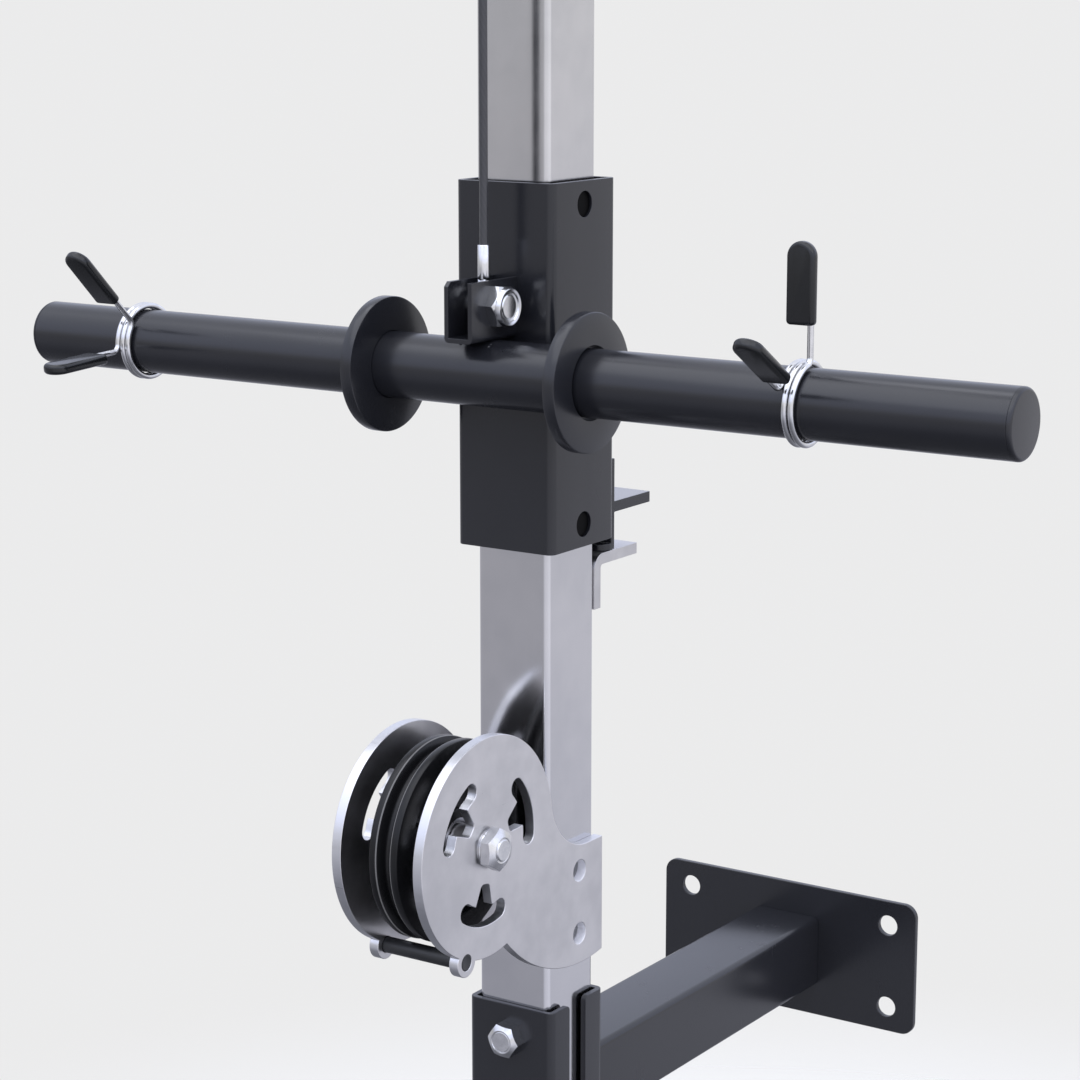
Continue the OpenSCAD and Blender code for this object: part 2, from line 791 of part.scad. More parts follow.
// A plate stop disc: tight on the bar inside, relieved round it on its outer face
module plate_stop(side) {
    r = disc_d / 2;
    color("dimgray")
    translate([side * (disc_x + disc_t / 2), bar_y, bar_axis_z]) rotate([0, side * 90, 0])
        rotate_extrude($fn = 96) difference() {
            union() {
                translate([bar_r, -disc_t / 2]) square([r - bar_r - edge_round / 2, disc_t]);
                translate([bar_r, -disc_t / 2 + edge_round / 2])
                    square([r - bar_r, disc_t - edge_round]);
                for (s = [-1, 1])
                    translate([r - edge_round / 2, s * (disc_t / 2 - edge_round / 2)])
                        circle(edge_round / 2);
            }
            translate([bar_r - cut_over, 0])
                square([disc_relief_d / 2 - bar_r + cut_over, disc_t]);
        }
}

// Weld fillets: along the bar on the sleeve, and along the clevis on the bar
module carriage_welds() {
    run = sleeve_w - 2 * sleeve_corner;
    foot_run = 1.1 * bar_r;
    color("dimgray") {
        difference() {
            translate([0, bar_y, bar_axis_z]) rotate([90, 0, 90])
                linear_extrude(run, center = true)
                    for (s = [-1, 1])
                        polygon([[bar_r, s * (bar_r - edge_round)], [bar_r, s * weld_leg],
                            [bar_r - weld_leg, s * (bar_r - weld_leg)],
                            [bar_r - weld_leg, s * (bar_r - edge_round)]]);
            translate([0, bar_y, bar_axis_z]) rotate([0, 90, 0])
                cylinder(r = bar_r, h = bar_len, center = true, $fn = 96);
        }
        for (s = [-1, 1])
            translate([s * (clevis_w / 2), bar_y, clevis_foot]) difference() {
                translate([0, 0, -edge_round]) rotate([90, 0, 0])
                    linear_extrude(foot_run, center = true)
                        polygon([[0, 0], [0, clevis_weld_h], [s * clevis_weld_w, 0]]);
                translate([0, 0, -bar_r]) rotate([0, 90, 0])
                    cylinder(r = bar_r, h = bar_len, center = true, $fn = 96);
            }
    }
}

// A channel open at its top and ends, that carries the cable's bolt
module cable_clevis() {
    half = clevis_w / 2;
    front_cut = 7;
    color("dimgray")
    translate([0, clevis_front_y, clevis_foot]) difference() {
        rotate([-90, 0, 0]) linear_extrude(clevis_depth)
            scale([1, -1]) difference() {
                union() {
                    translate([-half, clevis_wall]) square([clevis_w, clevis_h - clevis_wall]);
                    translate([-half + clevis_wall, 0])
                        square([clevis_w - 2 * clevis_wall, clevis_h]);
                    for (s = [-1, 1]) translate([s * (half - clevis_wall), clevis_wall])
                        circle(clevis_wall);
                }
                translate([-half + clevis_wall, clevis_wall])
                    square([clevis_w - 2 * clevis_wall, clevis_h]);
            }
        translate([-clevis_w, 0, clevis_h]) rotate([45, 0, 0])
            cube([2 * clevis_w, 2 * front_cut, front_cut / 1.4], center = true);
        translate([0, bar_y - clevis_front_y, clevis_bolt_z]) rotate([0, 90, 0])
            cylinder(d = clevis_bolt_d + hole_play, h = 2 * clevis_w, center = true);
    }
}

module clevis_bolt() {
    color("gainsboro")
    translate([-clevis_w / 2, bar_y, clevis_axis_z]) rotate([0, 90, 0]) {
        cylinder(d = clevis_bolt_d, h = clevis_w + nut_h + nut_collar_h - 2);
        translate([0, 0, -clamp_head_h]) hexagon(big_nut_af, clamp_head_h);
    }
}

module clevis_nut() {
    color("gainsboro")
    translate([clevis_w / 2, bar_y, clevis_axis_z]) rotate([0, 90, 0]) lock_nut(clevis_bolt_d);
}

// An eye terminal: a flat eye on the bolt and a ferrule that grips the cable
module eye_terminal(eye_hole_d) {
    tongue = tongue_of(eye_hole_d);
    hold = ferrule_len / 2;
    difference() {
        union() {
            rotate([0, 90, 0]) cylinder(r = eye_hole_d / 2 + eye_rim, h = eye_t, center = true);
            translate([-eye_t / 2, -eye_t / 2, 0]) cube([eye_t, eye_t, tongue]);
            translate([0, 0, tongue]) cylinder(d = ferrule_d, h = ferrule_len);
        }
        rotate([0, 90, 0]) cylinder(d = eye_hole_d, h = 2 * eye_t, center = true);
        translate([0, 0, tongue + ferrule_len - hold])
            cylinder(d = cable_d + contact_relief, h = hold + cut_over);
    }
}

module cable_eye() {
    color("gainsboro")
    translate([0, bar_y, clevis_axis_z]) eye_terminal(clevis_eye_hole);
}

// Cable

module cable_drop() {
    color("dimgray")
    translate([0, bar_y, cable_end_z]) cylinder(r = cable_r, h = high_z - cable_end_z);
}

module cable_over_pulley() {
    color("dimgray")
    translate([0, high_y, high_z]) rotate([0, -90, 0]) rotate([0, 0, -90])
        rotate_extrude(angle = 180, $fn = 96) translate([cable_turn_r, 0]) circle(cable_r);
}

module cable_tail() {
    color("dimgray")
    translate([0, tail_y, tail_end_z]) cylinder(r = cable_r, h = tail_len);
}

// The ball that stops the hand end under the block
module stop_ball() {
    color("black")
    translate([0, tail_y, tail_end_z + ferrule_len / 2 + ball_d / 2]) difference() {
        sphere(d = ball_d);
        cylinder(d = cable_d + 2 * contact_relief, h = 2 * ball_d, center = true);
    }
}

// The hand end's eye faces front, so that the ring in it hangs across the tower
module tail_eye() {
    color("gainsboro")
    translate([0, tail_y, tail_eye_z]) rotate(90) eye_terminal(tail_eye_hole);
}

// A long ring of rod in the plane across X, open on its front where the gate closes it
module carabiner() {
    color("gainsboro")
    translate([0, tail_y, clip_top_z - clip_bend_r]) {
        clip_bend(0);
        translate([0, 0, -clip_straight]) clip_bend(180);
        translate([0, clip_bend_r, -clip_straight]) cylinder(d = clip_rod_d, h = clip_straight);
        for (z = [-clip_straight, -clip_stub])
            translate([0, -clip_bend_r, z]) cylinder(d = clip_rod_d, h = clip_stub);
    }
}

module clip_bend(turn) {
    rotate([turn, 0, 0]) rotate([0, -90, 0]) rotate([0, 0, -90])
        rotate_extrude(angle = 180) translate([clip_bend_r, 0]) circle(d = clip_rod_d);
}

// The gate turns about the round end at its foot
module carabiner_gate() {
    gate_r = (clip_rod_d - gate_slim) / 2;
    gate_len = clip_straight - 2 * clip_stub - gate_r - 3 * hole_play;
    color("gainsboro")
    translate([0, tail_y - clip_bend_r, clip_top_z - clip_bend_r - clip_stub - 2 * hole_play]) {
        translate([0, 0, -gate_len]) cylinder(r = gate_r, h = gate_len);
        translate([0, 0, -gate_len]) sphere(gate_r);
    }
}

// Spring collars: angles count from the front, upward

// Unit vectors outward from the bar and along a turn toward lower angles, as [Y, Z]
function outward(a) = [-cos(a), sin(a)];
function along(a) = [-sin(a), -cos(a)];

// The angle between an arm and the middle of its bend into the coil
function bend_in(bend) = asin((arm_offset + bend) / (coil_r + arm_bend));

// The angle through which a coil is wound, and half of its length between its two wires' centres
function coil_sweep(upper, lower) =
    upper - bend_in(arm_bend) - lower + bend_in(-arm_bend) + 360 * coil_turns;
function coil_half(upper, lower) = coil_pitch * coil_sweep(upper, lower) / 720;

// A collar's wire from the upper grip to the lower one, whose foot is at a distance, as points
// [X, Y, Z] about the bar's axis
function collar_path(upper, lower, foot) = let(
    upper_in = bend_in(arm_bend),
    lower_in = bend_in(-arm_bend),
    from_a = upper - upper_in,
    to_a = lower - lower_in,
    sweep = coil_sweep(upper, lower),
    steps = round(coil_rings * sweep / 360),
    x_from = coil_half(upper, lower),
    c_up = (coil_r + arm_bend) * outward(from_a),
    c_low = (coil_r + arm_bend) * outward(to_a),
    up_start = grip_foot_upper + grip_hold,
    low_end = foot + grip_hold,
    up_line = arm_offset * along(upper),
    low_line = arm_offset * along(lower))
    [each [for (t = [up_start, (up_start + coil_r + arm_bend) / 2])
            let(p = up_line + t * outward(upper)) [x_from, p[0], p[1]]],
     each [for (k = [0 : bend_rings])
            let(p = c_up + arm_bend * outward(upper + 90 + (90 - upper_in) * k / bend_rings))
                [x_from, p[0], p[1]]],
     each [for (k = [1 : steps - 1])
            let(a = from_a - sweep * k / steps, p = coil_r * outward(a))
                [x_from - coil_pitch * sweep / 360 * k / steps, p[0], p[1]]],
     each [for (k = [0 : bend_rings])
            let(p = c_low + arm_bend * outward(to_a + 180 + (90 + lower_in) * k / bend_rings))
                [-x_from, p[0], p[1]]],
     each [for (t = [(low_end + coil_r + arm_bend) / 2, low_end])
            let(p = low_line + t * outward(lower)) [-x_from, p[0], p[1]]]];

// A ring of points round a path's point, square to the path there
function unit(v) = v / norm(v);
function wire_ring(path, i) = let(
    n = len(path),
    t = unit(path[min(i + 1, n - 1)] - path[max(i - 1, 0)]),
    u = unit([1, 0, 0] - t[0] * t),
    v = cross(t, u))
    [for (k = [0 : wire_sides - 1])
        let(a = 360 * k / wire_sides) path[i] + wire_r * (cos(a) * u + sin(a) * v)];

// One unbroken tube along a path, with triangles for faces
module wire_tube(path) {
    n = len(path);
    s = wire_sides;
    rings = [for (i = [0 : n - 1]) each wire_ring(path, i)];
    walls = [for (i = [0 : n - 2], k = [0 : s - 1])
        let(a = i * s + k, b = i * s + (k + 1) % s)
            each [[a, b, b + s], [a, b + s, a + s]]];
    first = [for (k = [1 : s - 2]) [0, k + 1, k]];
    last = [for (k = [1 : s - 2]) [(n - 1) * s, (n - 1) * s + k, (n - 1) * s + k + 1]];
    polyhedron(points = rings, faces = concat(walls, first, last));
}

// The least gap of a wire to itself, between points more than a third of a turn apart
function self_gap(path) = min([for (i = [0 : len(path) - 2])
    for (j = [i + coil_rings / 3 : 1 : len(path) - 1]) norm(path[i] - path[j])]) - wire_d;

// A flat paddle along +Z with its foot at the origin, a round tip and a bore for the wire
module grip(wire_x) {
    tip = grip_w / 2;
    soft = 2.5;
    difference() {
        intersection() {
            rotate([90, 0, 0]) linear_extrude(grip_t, center = true) union() {
                translate([-tip, 0]) square([grip_w, grip_len - tip]);
                translate([0, grip_len - tip]) circle(tip);
            }
            linear_extrude(grip_len) round_rect(grip_w, grip_t, soft);
        }
        translate([wire_x, 0, -cut_over])
            cylinder(d = wire_d + 2 * contact_relief, h = grip_hold + 2 * cut_over);
    }
}

// A grip on an arm at an angle: its wire keeps near one edge and the rest lies over the coil
module arm_grip(x, angle, foot, wire_side, upper, lower) {
    wire_x = wire_side * (grip_w / 2 - wire_d / 2 - grip_skin);
    p = arm_offset * along(angle) + foot * outward(angle);
    color("black")
    translate([x + wire_side * coil_half(upper, lower) - wire_x, bar_y + p[0], bar_axis_z + p[1]])
        rotate([90 - angle, 0, 0]) grip(wire_x);
}

module collar_spring(x, upper, lower, foot) {
    color("gainsboro")
    translate([x, bar_y, bar_axis_z]) wire_tube(collar_path(upper, lower, foot));
}

echo(right_spring_gap = self_gap(
    collar_path(right_upper_angle, right_lower_angle, right_grip_foot_lower)));
echo(left_spring_gap = self_gap(
    collar_path(left_upper_angle, left_lower_angle, left_grip_foot_lower)));

upright();
top_cap();
bottom_cap();
front_clamp(0);  // lower_front_clamp
rear_clamp(0);  // lower_rear_clamp
wall_arm(0);  // lower_wall_arm
wall_plate(0);  // lower_wall_plate
clamp_bolts(0);  // lower_clamp_bolts
clamp_nuts(0);  // lower_clamp_nuts
front_clamp(upper_z);  // upper_front_clamp
rear_clamp(upper_z);  // upper_rear_clamp
wall_arm(upper_z);  // upper_wall_arm
wall_plate(upper_z);  // upper_wall_plate
clamp_bolts(upper_z);  // upper_clamp_bolts
clamp_nuts(upper_z);  // upper_clamp_nuts
stop_bracket();
stop_bracket_bolts();
side_plate(-1, low_y, low_z, low_reach, -1);  // low_plate_left
side_plate(1, low_y, low_z, low_reach, -1);  // low_plate_right
guard_rod(low_y, low_z, -1);  // low_guard_rod
axle_bolt(low_y, low_z);  // low_axle_bolt
axle_nut(low_y, low_z);  // low_axle_nut
axle_spacers(low_y, low_z);  // low_axle_spacers
wheel(low_y, low_z);  // low_wheel
bearing(low_y, low_z);  // low_bearing
side_plate(-1, high_y, high_z, high_reach, 1);  // high_plate_left
side_plate(1, high_y, high_z, high_reach, 1);  // high_plate_right
guard_rod(high_y, high_z, 1);  // high_guard_rod
axle_bolt(high_y, high_z);  // high_axle_bolt
axle_nut(high_y, high_z);  // high_axle_nut
axle_spacers(high_y, high_z);  // high_axle_spacers
wheel(high_y, high_z);  // high_wheel
bearing(high_y, high_z);  // high_bearing
sleeve();
upper_glide();
lower_glide();
rear_tab();
weight_bar();
bar_end_caps();
plate_stop(-1);  // left_plate_stop
plate_stop(1);  // right_plate_stop
carriage_welds();
cable_clevis();
clevis_bolt();
clevis_nut();
cable_eye();
cable_drop();
cable_over_pulley();
cable_tail();
stop_ball();
tail_eye();
carabiner();
carabiner_gate();
collar_spring(-left_collar_x, left_upper_angle, left_lower_angle, left_grip_foot_lower);  // left_collar_spring
arm_grip(-left_collar_x, left_lower_angle, left_grip_foot_lower, -1,  // left_lower_grip
        left_upper_angle, left_lower_angle);
arm_grip(-left_collar_x, left_upper_angle, grip_foot_upper, 1,  // left_upper_grip
        left_upper_angle, left_lower_angle);
collar_spring(right_collar_x, right_upper_angle, right_lower_angle, right_grip_foot_lower);  // right_collar_spring
arm_grip(right_collar_x, right_lower_angle, right_grip_foot_lower, -1,  // right_lower_grip
        right_upper_angle, right_lower_angle);
arm_grip(right_collar_x, right_upper_angle, grip_foot_upper, 1,  // right_upper_grip
        right_upper_angle, right_lower_angle);
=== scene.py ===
import logging
import math
from dataclasses import dataclass, field
from enum import Enum
from typing import Callable, ClassVar, Sequence

import bmesh
import bpy
from mathutils import Matrix, Vector
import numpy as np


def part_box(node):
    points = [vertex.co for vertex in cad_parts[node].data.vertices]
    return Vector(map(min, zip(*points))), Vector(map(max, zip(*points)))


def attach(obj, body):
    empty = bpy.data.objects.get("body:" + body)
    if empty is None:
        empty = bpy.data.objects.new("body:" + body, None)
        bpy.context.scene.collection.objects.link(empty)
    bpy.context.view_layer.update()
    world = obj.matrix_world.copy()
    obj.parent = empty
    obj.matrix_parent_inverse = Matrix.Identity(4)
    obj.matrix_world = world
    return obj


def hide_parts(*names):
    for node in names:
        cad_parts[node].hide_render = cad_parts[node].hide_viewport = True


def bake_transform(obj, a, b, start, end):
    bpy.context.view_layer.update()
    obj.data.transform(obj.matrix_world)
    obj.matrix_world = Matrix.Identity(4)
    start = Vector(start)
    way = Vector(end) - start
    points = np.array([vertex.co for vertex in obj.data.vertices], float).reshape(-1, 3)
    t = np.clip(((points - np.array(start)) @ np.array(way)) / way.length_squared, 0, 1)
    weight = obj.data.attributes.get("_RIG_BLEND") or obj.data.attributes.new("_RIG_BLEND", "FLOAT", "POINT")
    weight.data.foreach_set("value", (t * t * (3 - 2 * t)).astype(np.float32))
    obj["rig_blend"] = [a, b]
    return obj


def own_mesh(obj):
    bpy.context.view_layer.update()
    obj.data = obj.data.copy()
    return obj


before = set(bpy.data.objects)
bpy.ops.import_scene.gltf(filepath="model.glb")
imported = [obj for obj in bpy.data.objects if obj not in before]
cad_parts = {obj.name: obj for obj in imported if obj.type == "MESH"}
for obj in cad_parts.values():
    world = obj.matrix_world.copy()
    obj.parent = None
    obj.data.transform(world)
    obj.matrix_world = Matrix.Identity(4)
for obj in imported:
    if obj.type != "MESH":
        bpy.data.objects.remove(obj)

LOG = logging.getLogger("pulley_tower")
Point = tuple[float, float, float]
Profile = Sequence[tuple[float, float]]  # radius and height pairs, in millimetres
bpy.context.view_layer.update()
MM = 0.001


class Side(Enum):
    """Which way along the weight bar."""

    LEFT = -1
    RIGHT = 1

    def flip(self) -> Matrix:
        """The half turn that brings a piece for the right side to this one."""
        return Matrix.Rotation(0.0 if self is Side.RIGHT else math.pi, 4, "X")


class Level(Enum):
    """The two heights at which the pulley blocks sit, with the way their lobes point."""

    LOW = -1
    HIGH = 1


class Way(Enum):
    """Which way a piece that was made upright on the bench points in its place."""

    LEFT = (-1.0, 0.0, 0.0)
    RIGHT = (1.0, 0.0, 0.0)
    FRONT = (0.0, -1.0, 0.0)
    BACK = (0.0, 1.0, 0.0)

    def stand(self, foot: Sequence[float]) -> Matrix:
        """The move from the bench's origin to a foot."""
        turn = Vector((0.0, 0.0, 1.0)).rotation_difference(Vector(self.value))
        return Matrix.Translation(foot) @ turn.to_matrix().to_4x4()


def middle(node: str) -> Vector:
    """The middle of a CAD node's box."""
    low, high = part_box(node)
    return (low + high) / 2.0


def polar(radius: float, degrees: float) -> tuple[float, float]:
    """The point at a radius and an angle, across and up."""
    return radius * math.cos(math.radians(degrees)), radius * math.sin(math.radians(degrees))


def mirrored(half: Profile, between: Profile = (), closed: bool = True) -> Profile:
    """Completes a profile that is the same above and below the bench.

    Args:
        half: Its lower half.
        between: What stands between the two halves.
        closed: True for a ring, whose last point repeats its first.

    Returns:
        The whole profile.
    """
    upper = [(radius, -height) for radius, height in reversed(half)]
    return [*half, *between, *upper, *([half[0]] if closed else [])]


def lobe_bores(*levels: Level) -> list[tuple[float, float]]:
    """Where the side plates and the upright are drilled.

    Args:
        levels: The pulley blocks.

    Returns:
        Y and Z of each hole's axis, in metres.
    """
    painted_bright_bores = []
    for level in levels:
        axle = middle(f"{level.name.lower()}_bearing").z
        painted_bright_bores += [(middle("upright").y, axle + level.value * far) for far in (50 * MM, 100 * MM)]
    return painted_bright_bores


# Shader maths ---------------------------------------------------------------------------


class Signal:
    """One number that varies over a surface, with Python's arithmetic on it."""

    def __init__(self, graph: "Graph", socket: bpy.types.NodeSocket) -> None:
        """Wraps a node's output."""
        self.graph = graph
        self.socket = socket

    def _with(self, operation: str, first: object, second: object = 0.0) -> "Signal":
        """Adds one Math node on signals or numbers."""
        return self.graph.signal("ShaderNodeMath", {"operation": operation},
                                 {0: first, 1: second})

    def __add__(self, other: object) -> "Signal":
        """Sum."""
        return self._with("ADD", self, other)

    def __sub__(self, other: object) -> "Signal":
        """Difference."""
        return self._with("SUBTRACT", self, other)

    def __rsub__(self, other: object) -> "Signal":
        """Difference from a number."""
        return self._with("SUBTRACT", other, self)

    def __mul__(self, other: object) -> "Signal":
        """Product."""
        return self._with("MULTIPLY", self, other)

    def __pow__(self, other: object) -> "Signal":
        """Power."""
        return self._with("POWER", self, other)

    def __abs__(self) -> "Signal":
        """Size without sign."""
        return self._with("ABSOLUTE", self)

    __radd__ = __add__
    __rmul__ = __mul__

    def sine(self) -> "Signal":
        """Sine of the signal in radians."""
        return self._with("SINE", self)

    def angle(self, other: "Signal") -> "Signal":
        """The angle of this signal over another, in radians."""
        return self._with("ARCTAN2", self, other)

    def step(self, low: float, high: float) -> "Signal":
        """A smooth step from 0 at the low value to 1 at the high one."""
        return self.graph.signal("ShaderNodeMapRange", {"interpolation_type": "SMOOTHSTEP"},
                                 {0: self, 1: low, 2: high})

    def band(self, start: float, full: float, fade: float, end: float) -> "Signal":
        """1 between full and fade, and 0 outside start and end."""
        return self.step(start, full) * (1.0 - self.step(fade, end))


class Graph:
    """A node tree, of a material or of the world."""

    def __init__(self, tree: bpy.types.NodeTree) -> None:
        """Takes a tree and empties it."""
        self.tree = tree
        self.tree.nodes.clear()

    def node(self, kind: str, settings: dict, inputs: dict) -> bpy.types.Node:
        """Adds any node.

        Args:
            kind: The node's type.
            settings: Its own settings, set first; "stops" holds a ramp's places and colours,
                the first at 0 and the last at 1.
            inputs: Its sockets' values, signals or links.

        Returns:
            The node.
        """
        node = self.tree.nodes.new(kind)
        for key, value in settings.items():
            if key != "stops":
                setattr(node, key, value)
                continue
            elements = node.color_ramp.elements
            elements[0].color, elements[1].color = (*value[0][1], 1.0), (*value[-1][1], 1.0)
            for place, colour in value[1:-1]:
                elements.new(place).color = (*colour, 1.0)
        for key, value in inputs.items():
            self.feed(node.inputs[key], value)
        return node

    def feed(self, socket: bpy.types.NodeSocket, value: object) -> None:
        """Links or sets a socket.

        Args:
            socket: The input.
            value: A signal, an output socket, a number, a vector or a colour.
        """
        source = value.socket if isinstance(value, Signal) else value
        if isinstance(source, bpy.types.NodeSocket):
            self.tree.links.new(source, socket)
        else:
            socket.default_value = (*source, 1.0) if socket.type == "RGBA" else source

    def signal(self, kind: str, settings: dict, inputs: dict) -> Signal:
        """Adds any node and wraps its first output."""
        return Signal(self, self.node(kind, settings, inputs).outputs[0])

    def vector(self, operation: str, first: object, second: object) -> bpy.types.Node:
        """Adds a Vector Math node."""
        return self.node("ShaderNodeVectorMath", {"operation": operation},
                         {0: first, 1: second})

    def split(self, vector: bpy.types.NodeSocket) -> list[Signal]:
        """A vector's three parts."""
        parts = self.node("ShaderNodeSeparateXYZ", {}, {0: vector})
        return [Signal(self, part) for part in parts.outputs]


class Shader(Graph):
    """One material, its Principled node, and the nodes that feed it."""

    def __init__(self, name: str) -> None:
        """Starts the material.

        Args:
            name: The material's name.
        """
        self.material = bpy.data.materials.new(name)
        self.material.use_nodes = True
        super().__init__(self.material.node_tree)
        self.surface = self.node("ShaderNodeBsdfPrincipled", {}, {})
        self.output = self.node("ShaderNodeOutputMaterial", {},
                                {"Surface": self.surface.outputs[0]})
        self.at = self.node("ShaderNodeTexCoord", {}, {}).outputs

    def axes(self, centre: Point = (0.0, 0.0, 0.0)) -> list[Signal]:
        """Object coordinates about a centre, one signal an axis."""
        return self.split(self.vector("SUBTRACT", self.at["Object"], centre).outputs[0])

    def facing(self) -> list[Signal]:
        """The object's own normal, one signal an axis."""
        return self.split(self.at["Normal"])

    def noise(self, scale: float, detail: float, stretch: Point = (1.0, 1.0, 1.0),
              rough: float = 0.5) -> Signal:
        """Soft noise from 0 to 1.

        Args:
            scale: Features a metre.
            detail: Octaves.
            stretch: Frequency along each axis.
            rough: How strong the finer octaves are.

        Returns:
            The noise.
        """
        place = self.vector("MULTIPLY", self.at["Object"], stretch).outputs[0]
        return self.signal("ShaderNodeTexNoise", {}, {
            "Vector": place, "Scale": scale, "Detail": detail, "Roughness": rough})

    def blend(self, share: Signal, first: object, second: object) -> bpy.types.NodeSocket:
        """A colour between two colours, or sockets of colours."""
        return self.node("ShaderNodeMix", {"data_type": "RGBA"},
                         {0: share, 6: first, 7: second}).outputs[2]

    def relief(self, height: Signal, depth: float, strength: float) -> None:
        """Feeds a height, of which 1 stands for a depth in metres, to the normal."""
        self.feed(self.surface.inputs["Normal"], self.node("ShaderNodeBump", {}, {
            "Strength": strength, "Distance": depth, "Height": height}).outputs[0])

    def dress(self, **sockets: object) -> bpy.types.Material:
        """Sets the Principled node's sockets.

        Args:
            sockets: Values by the sockets' names, with _ for a space.

        Returns:
            The material.
        """
        for key, value in sockets.items():
            self.feed(self.surface.inputs[key.replace("_", " ")], value)
        return self.material


# Finishes -------------------------------------------------------------------------------


@dataclass(frozen=True)
class Coat:
    """A finish's material and the record's slot that it stands for."""

    slot: str
    material: bpy.types.Material


@dataclass(frozen=True)
class Finish:
    """What every finish has: names, the two colours of its clouds, and its roughness."""

    name: str
    slot: str
    dark: Point
    light: Point
    roughness: float


@dataclass(frozen=True)
class SatinSteel(Finish):
    """Plated steel with a fine grain along one axis and soft clouds."""

    grain: Point = (1.0, 1.0, 0.006)
    cloud_scale: float = 9.0
    relief: float = 0.2
    cut_edge: bool = False
    # Bores whose walls get a painted highlight.
    painted_bright_bores: Sequence[tuple[float, float]] = ()

    def build(self) -> Coat:
        """Makes the finish, with paler cut edges and a painted highlight on the walls of drilled holes.

        Returns:
            The finish with its slot.
        """
        s = Shader(self.name)
        clouds, patches = s.noise(self.cloud_scale, 4.0), s.noise(self.cloud_scale * 5.0, 3.0)
        grain, streak = s.noise(1500.0, 2.0, self.grain), s.noise(260.0, 2.0, self.grain)
        shade = (clouds * 0.7 + patches * 0.3).step(0.32, 0.68)
        tint = s.blend(shade * 0.8 + grain * 0.12 + streak * 0.08, self.dark, self.light)
        rough = self.roughness + (grain - 0.5) * 0.08 + (patches - 0.5) * 0.08
        height = grain * 0.6 + streak * 0.4
        edge = (1.0 - abs(s.facing()[0])).step(0.4, 0.8)
        if self.cut_edge:
            ripples = s.noise(900.0, 2.0, (0.02, 1.0, 1.0))
            tint = s.blend(edge * 0.55, tint, (0.74, 0.75, 0.78))
            rough = rough + edge * (ripples - 0.35) * 0.3
            height = height + edge * ripples * 1.5
        # The walls of these bores are painted near-white and rougher: a painted highlight that stands in for
        # the light they reflect.
        for y, z in self.painted_bright_bores:
            _, away, up = s.axes((0.0, y, z))
            bore = edge * (1.0 - ((away * away + up * up) ** 0.5).step(10 * MM, 11 * MM))
            tint = s.blend(bore, tint, (0.93, 0.93, 0.95))
            rough = rough + bore * 0.5
        s.relief(height, 0.02 * MM, self.relief)
        return Coat(self.slot, s.dress(Base_Color=tint, Roughness=rough, Metallic=1.0))


@dataclass(frozen=True)
class PowderCoat(Finish):
    """Smooth black powder coat with a faint orange peel and handling marks."""

    slot: str = "black_coat"
    dark: Point = (0.009, 0.0095, 0.012)
    light: Point = (0.015, 0.0155, 0.019)
    roughness: float = 0.23
    bare_above: float | None = None

    def build(self) -> Coat:
        """Makes the finish, worn to the metal on the top faces at a height, if it has one.

        Returns:
            The finish with its slot.
        """
        s = Shader(self.name)
        peel, fine, clouds = s.noise(700.0, 2.0), s.noise(2600.0, 2.0), s.noise(14.0, 4.0)
        marks = s.noise(60.0, 6.0, (1.0, 1.0, 0.35), 0.62).step(0.60, 0.72)
        tint = s.blend(clouds * 0.7 + fine * 0.3, self.dark, self.light)
        rough = self.roughness + (clouds - 0.5) * 0.08 + (fine - 0.5) * 0.06 + marks * 0.05
        s.relief(peel * 0.8 + fine * 0.2, 0.06 * MM, 0.14)
        if self.bare_above is not None:
            z = self.bare_above
            wear_and_highlight = s.axes()[2].band(z - 0.8 * MM, z - 0.2 * MM, z + 1 * MM, z + 2 * MM)
            bare = s.facing()[2].step(0.7, 0.9) * wear_and_highlight
            tint = s.blend(bare, tint, (0.38, 0.38, 0.385))
            rough = rough + bare * 0.1
            s.dress(Metallic=bare * 0.8)
        return Coat(self.slot, s.dress(Base_Color=tint, Roughness=rough))


@dataclass(frozen=True)
class BrightPlate(Finish):
    """Bright zinc or chrome plating, or turned steel."""

    spread: float

    def build(self) -> Coat:
        """Makes the finish.

        Returns:
            The finish with its slot.
        """
        s = Shader(self.name)
        clouds, grain = s.noise(120.0, 4.0), s.noise(2400.0, 3.0)
        tint = s.blend(clouds.step(0.3, 0.7) * 0.7 + grain * 0.3, self.dark, self.light)
        rough = self.roughness + (clouds - 0.4) * self.spread + (grain - 0.5) * 0.05
        s.relief(grain * 0.5 + clouds * 0.5, 0.03 * MM, 0.12)
        return Coat(self.slot, s.dress(Base_Color=tint, Roughness=rough, Metallic=1.0))


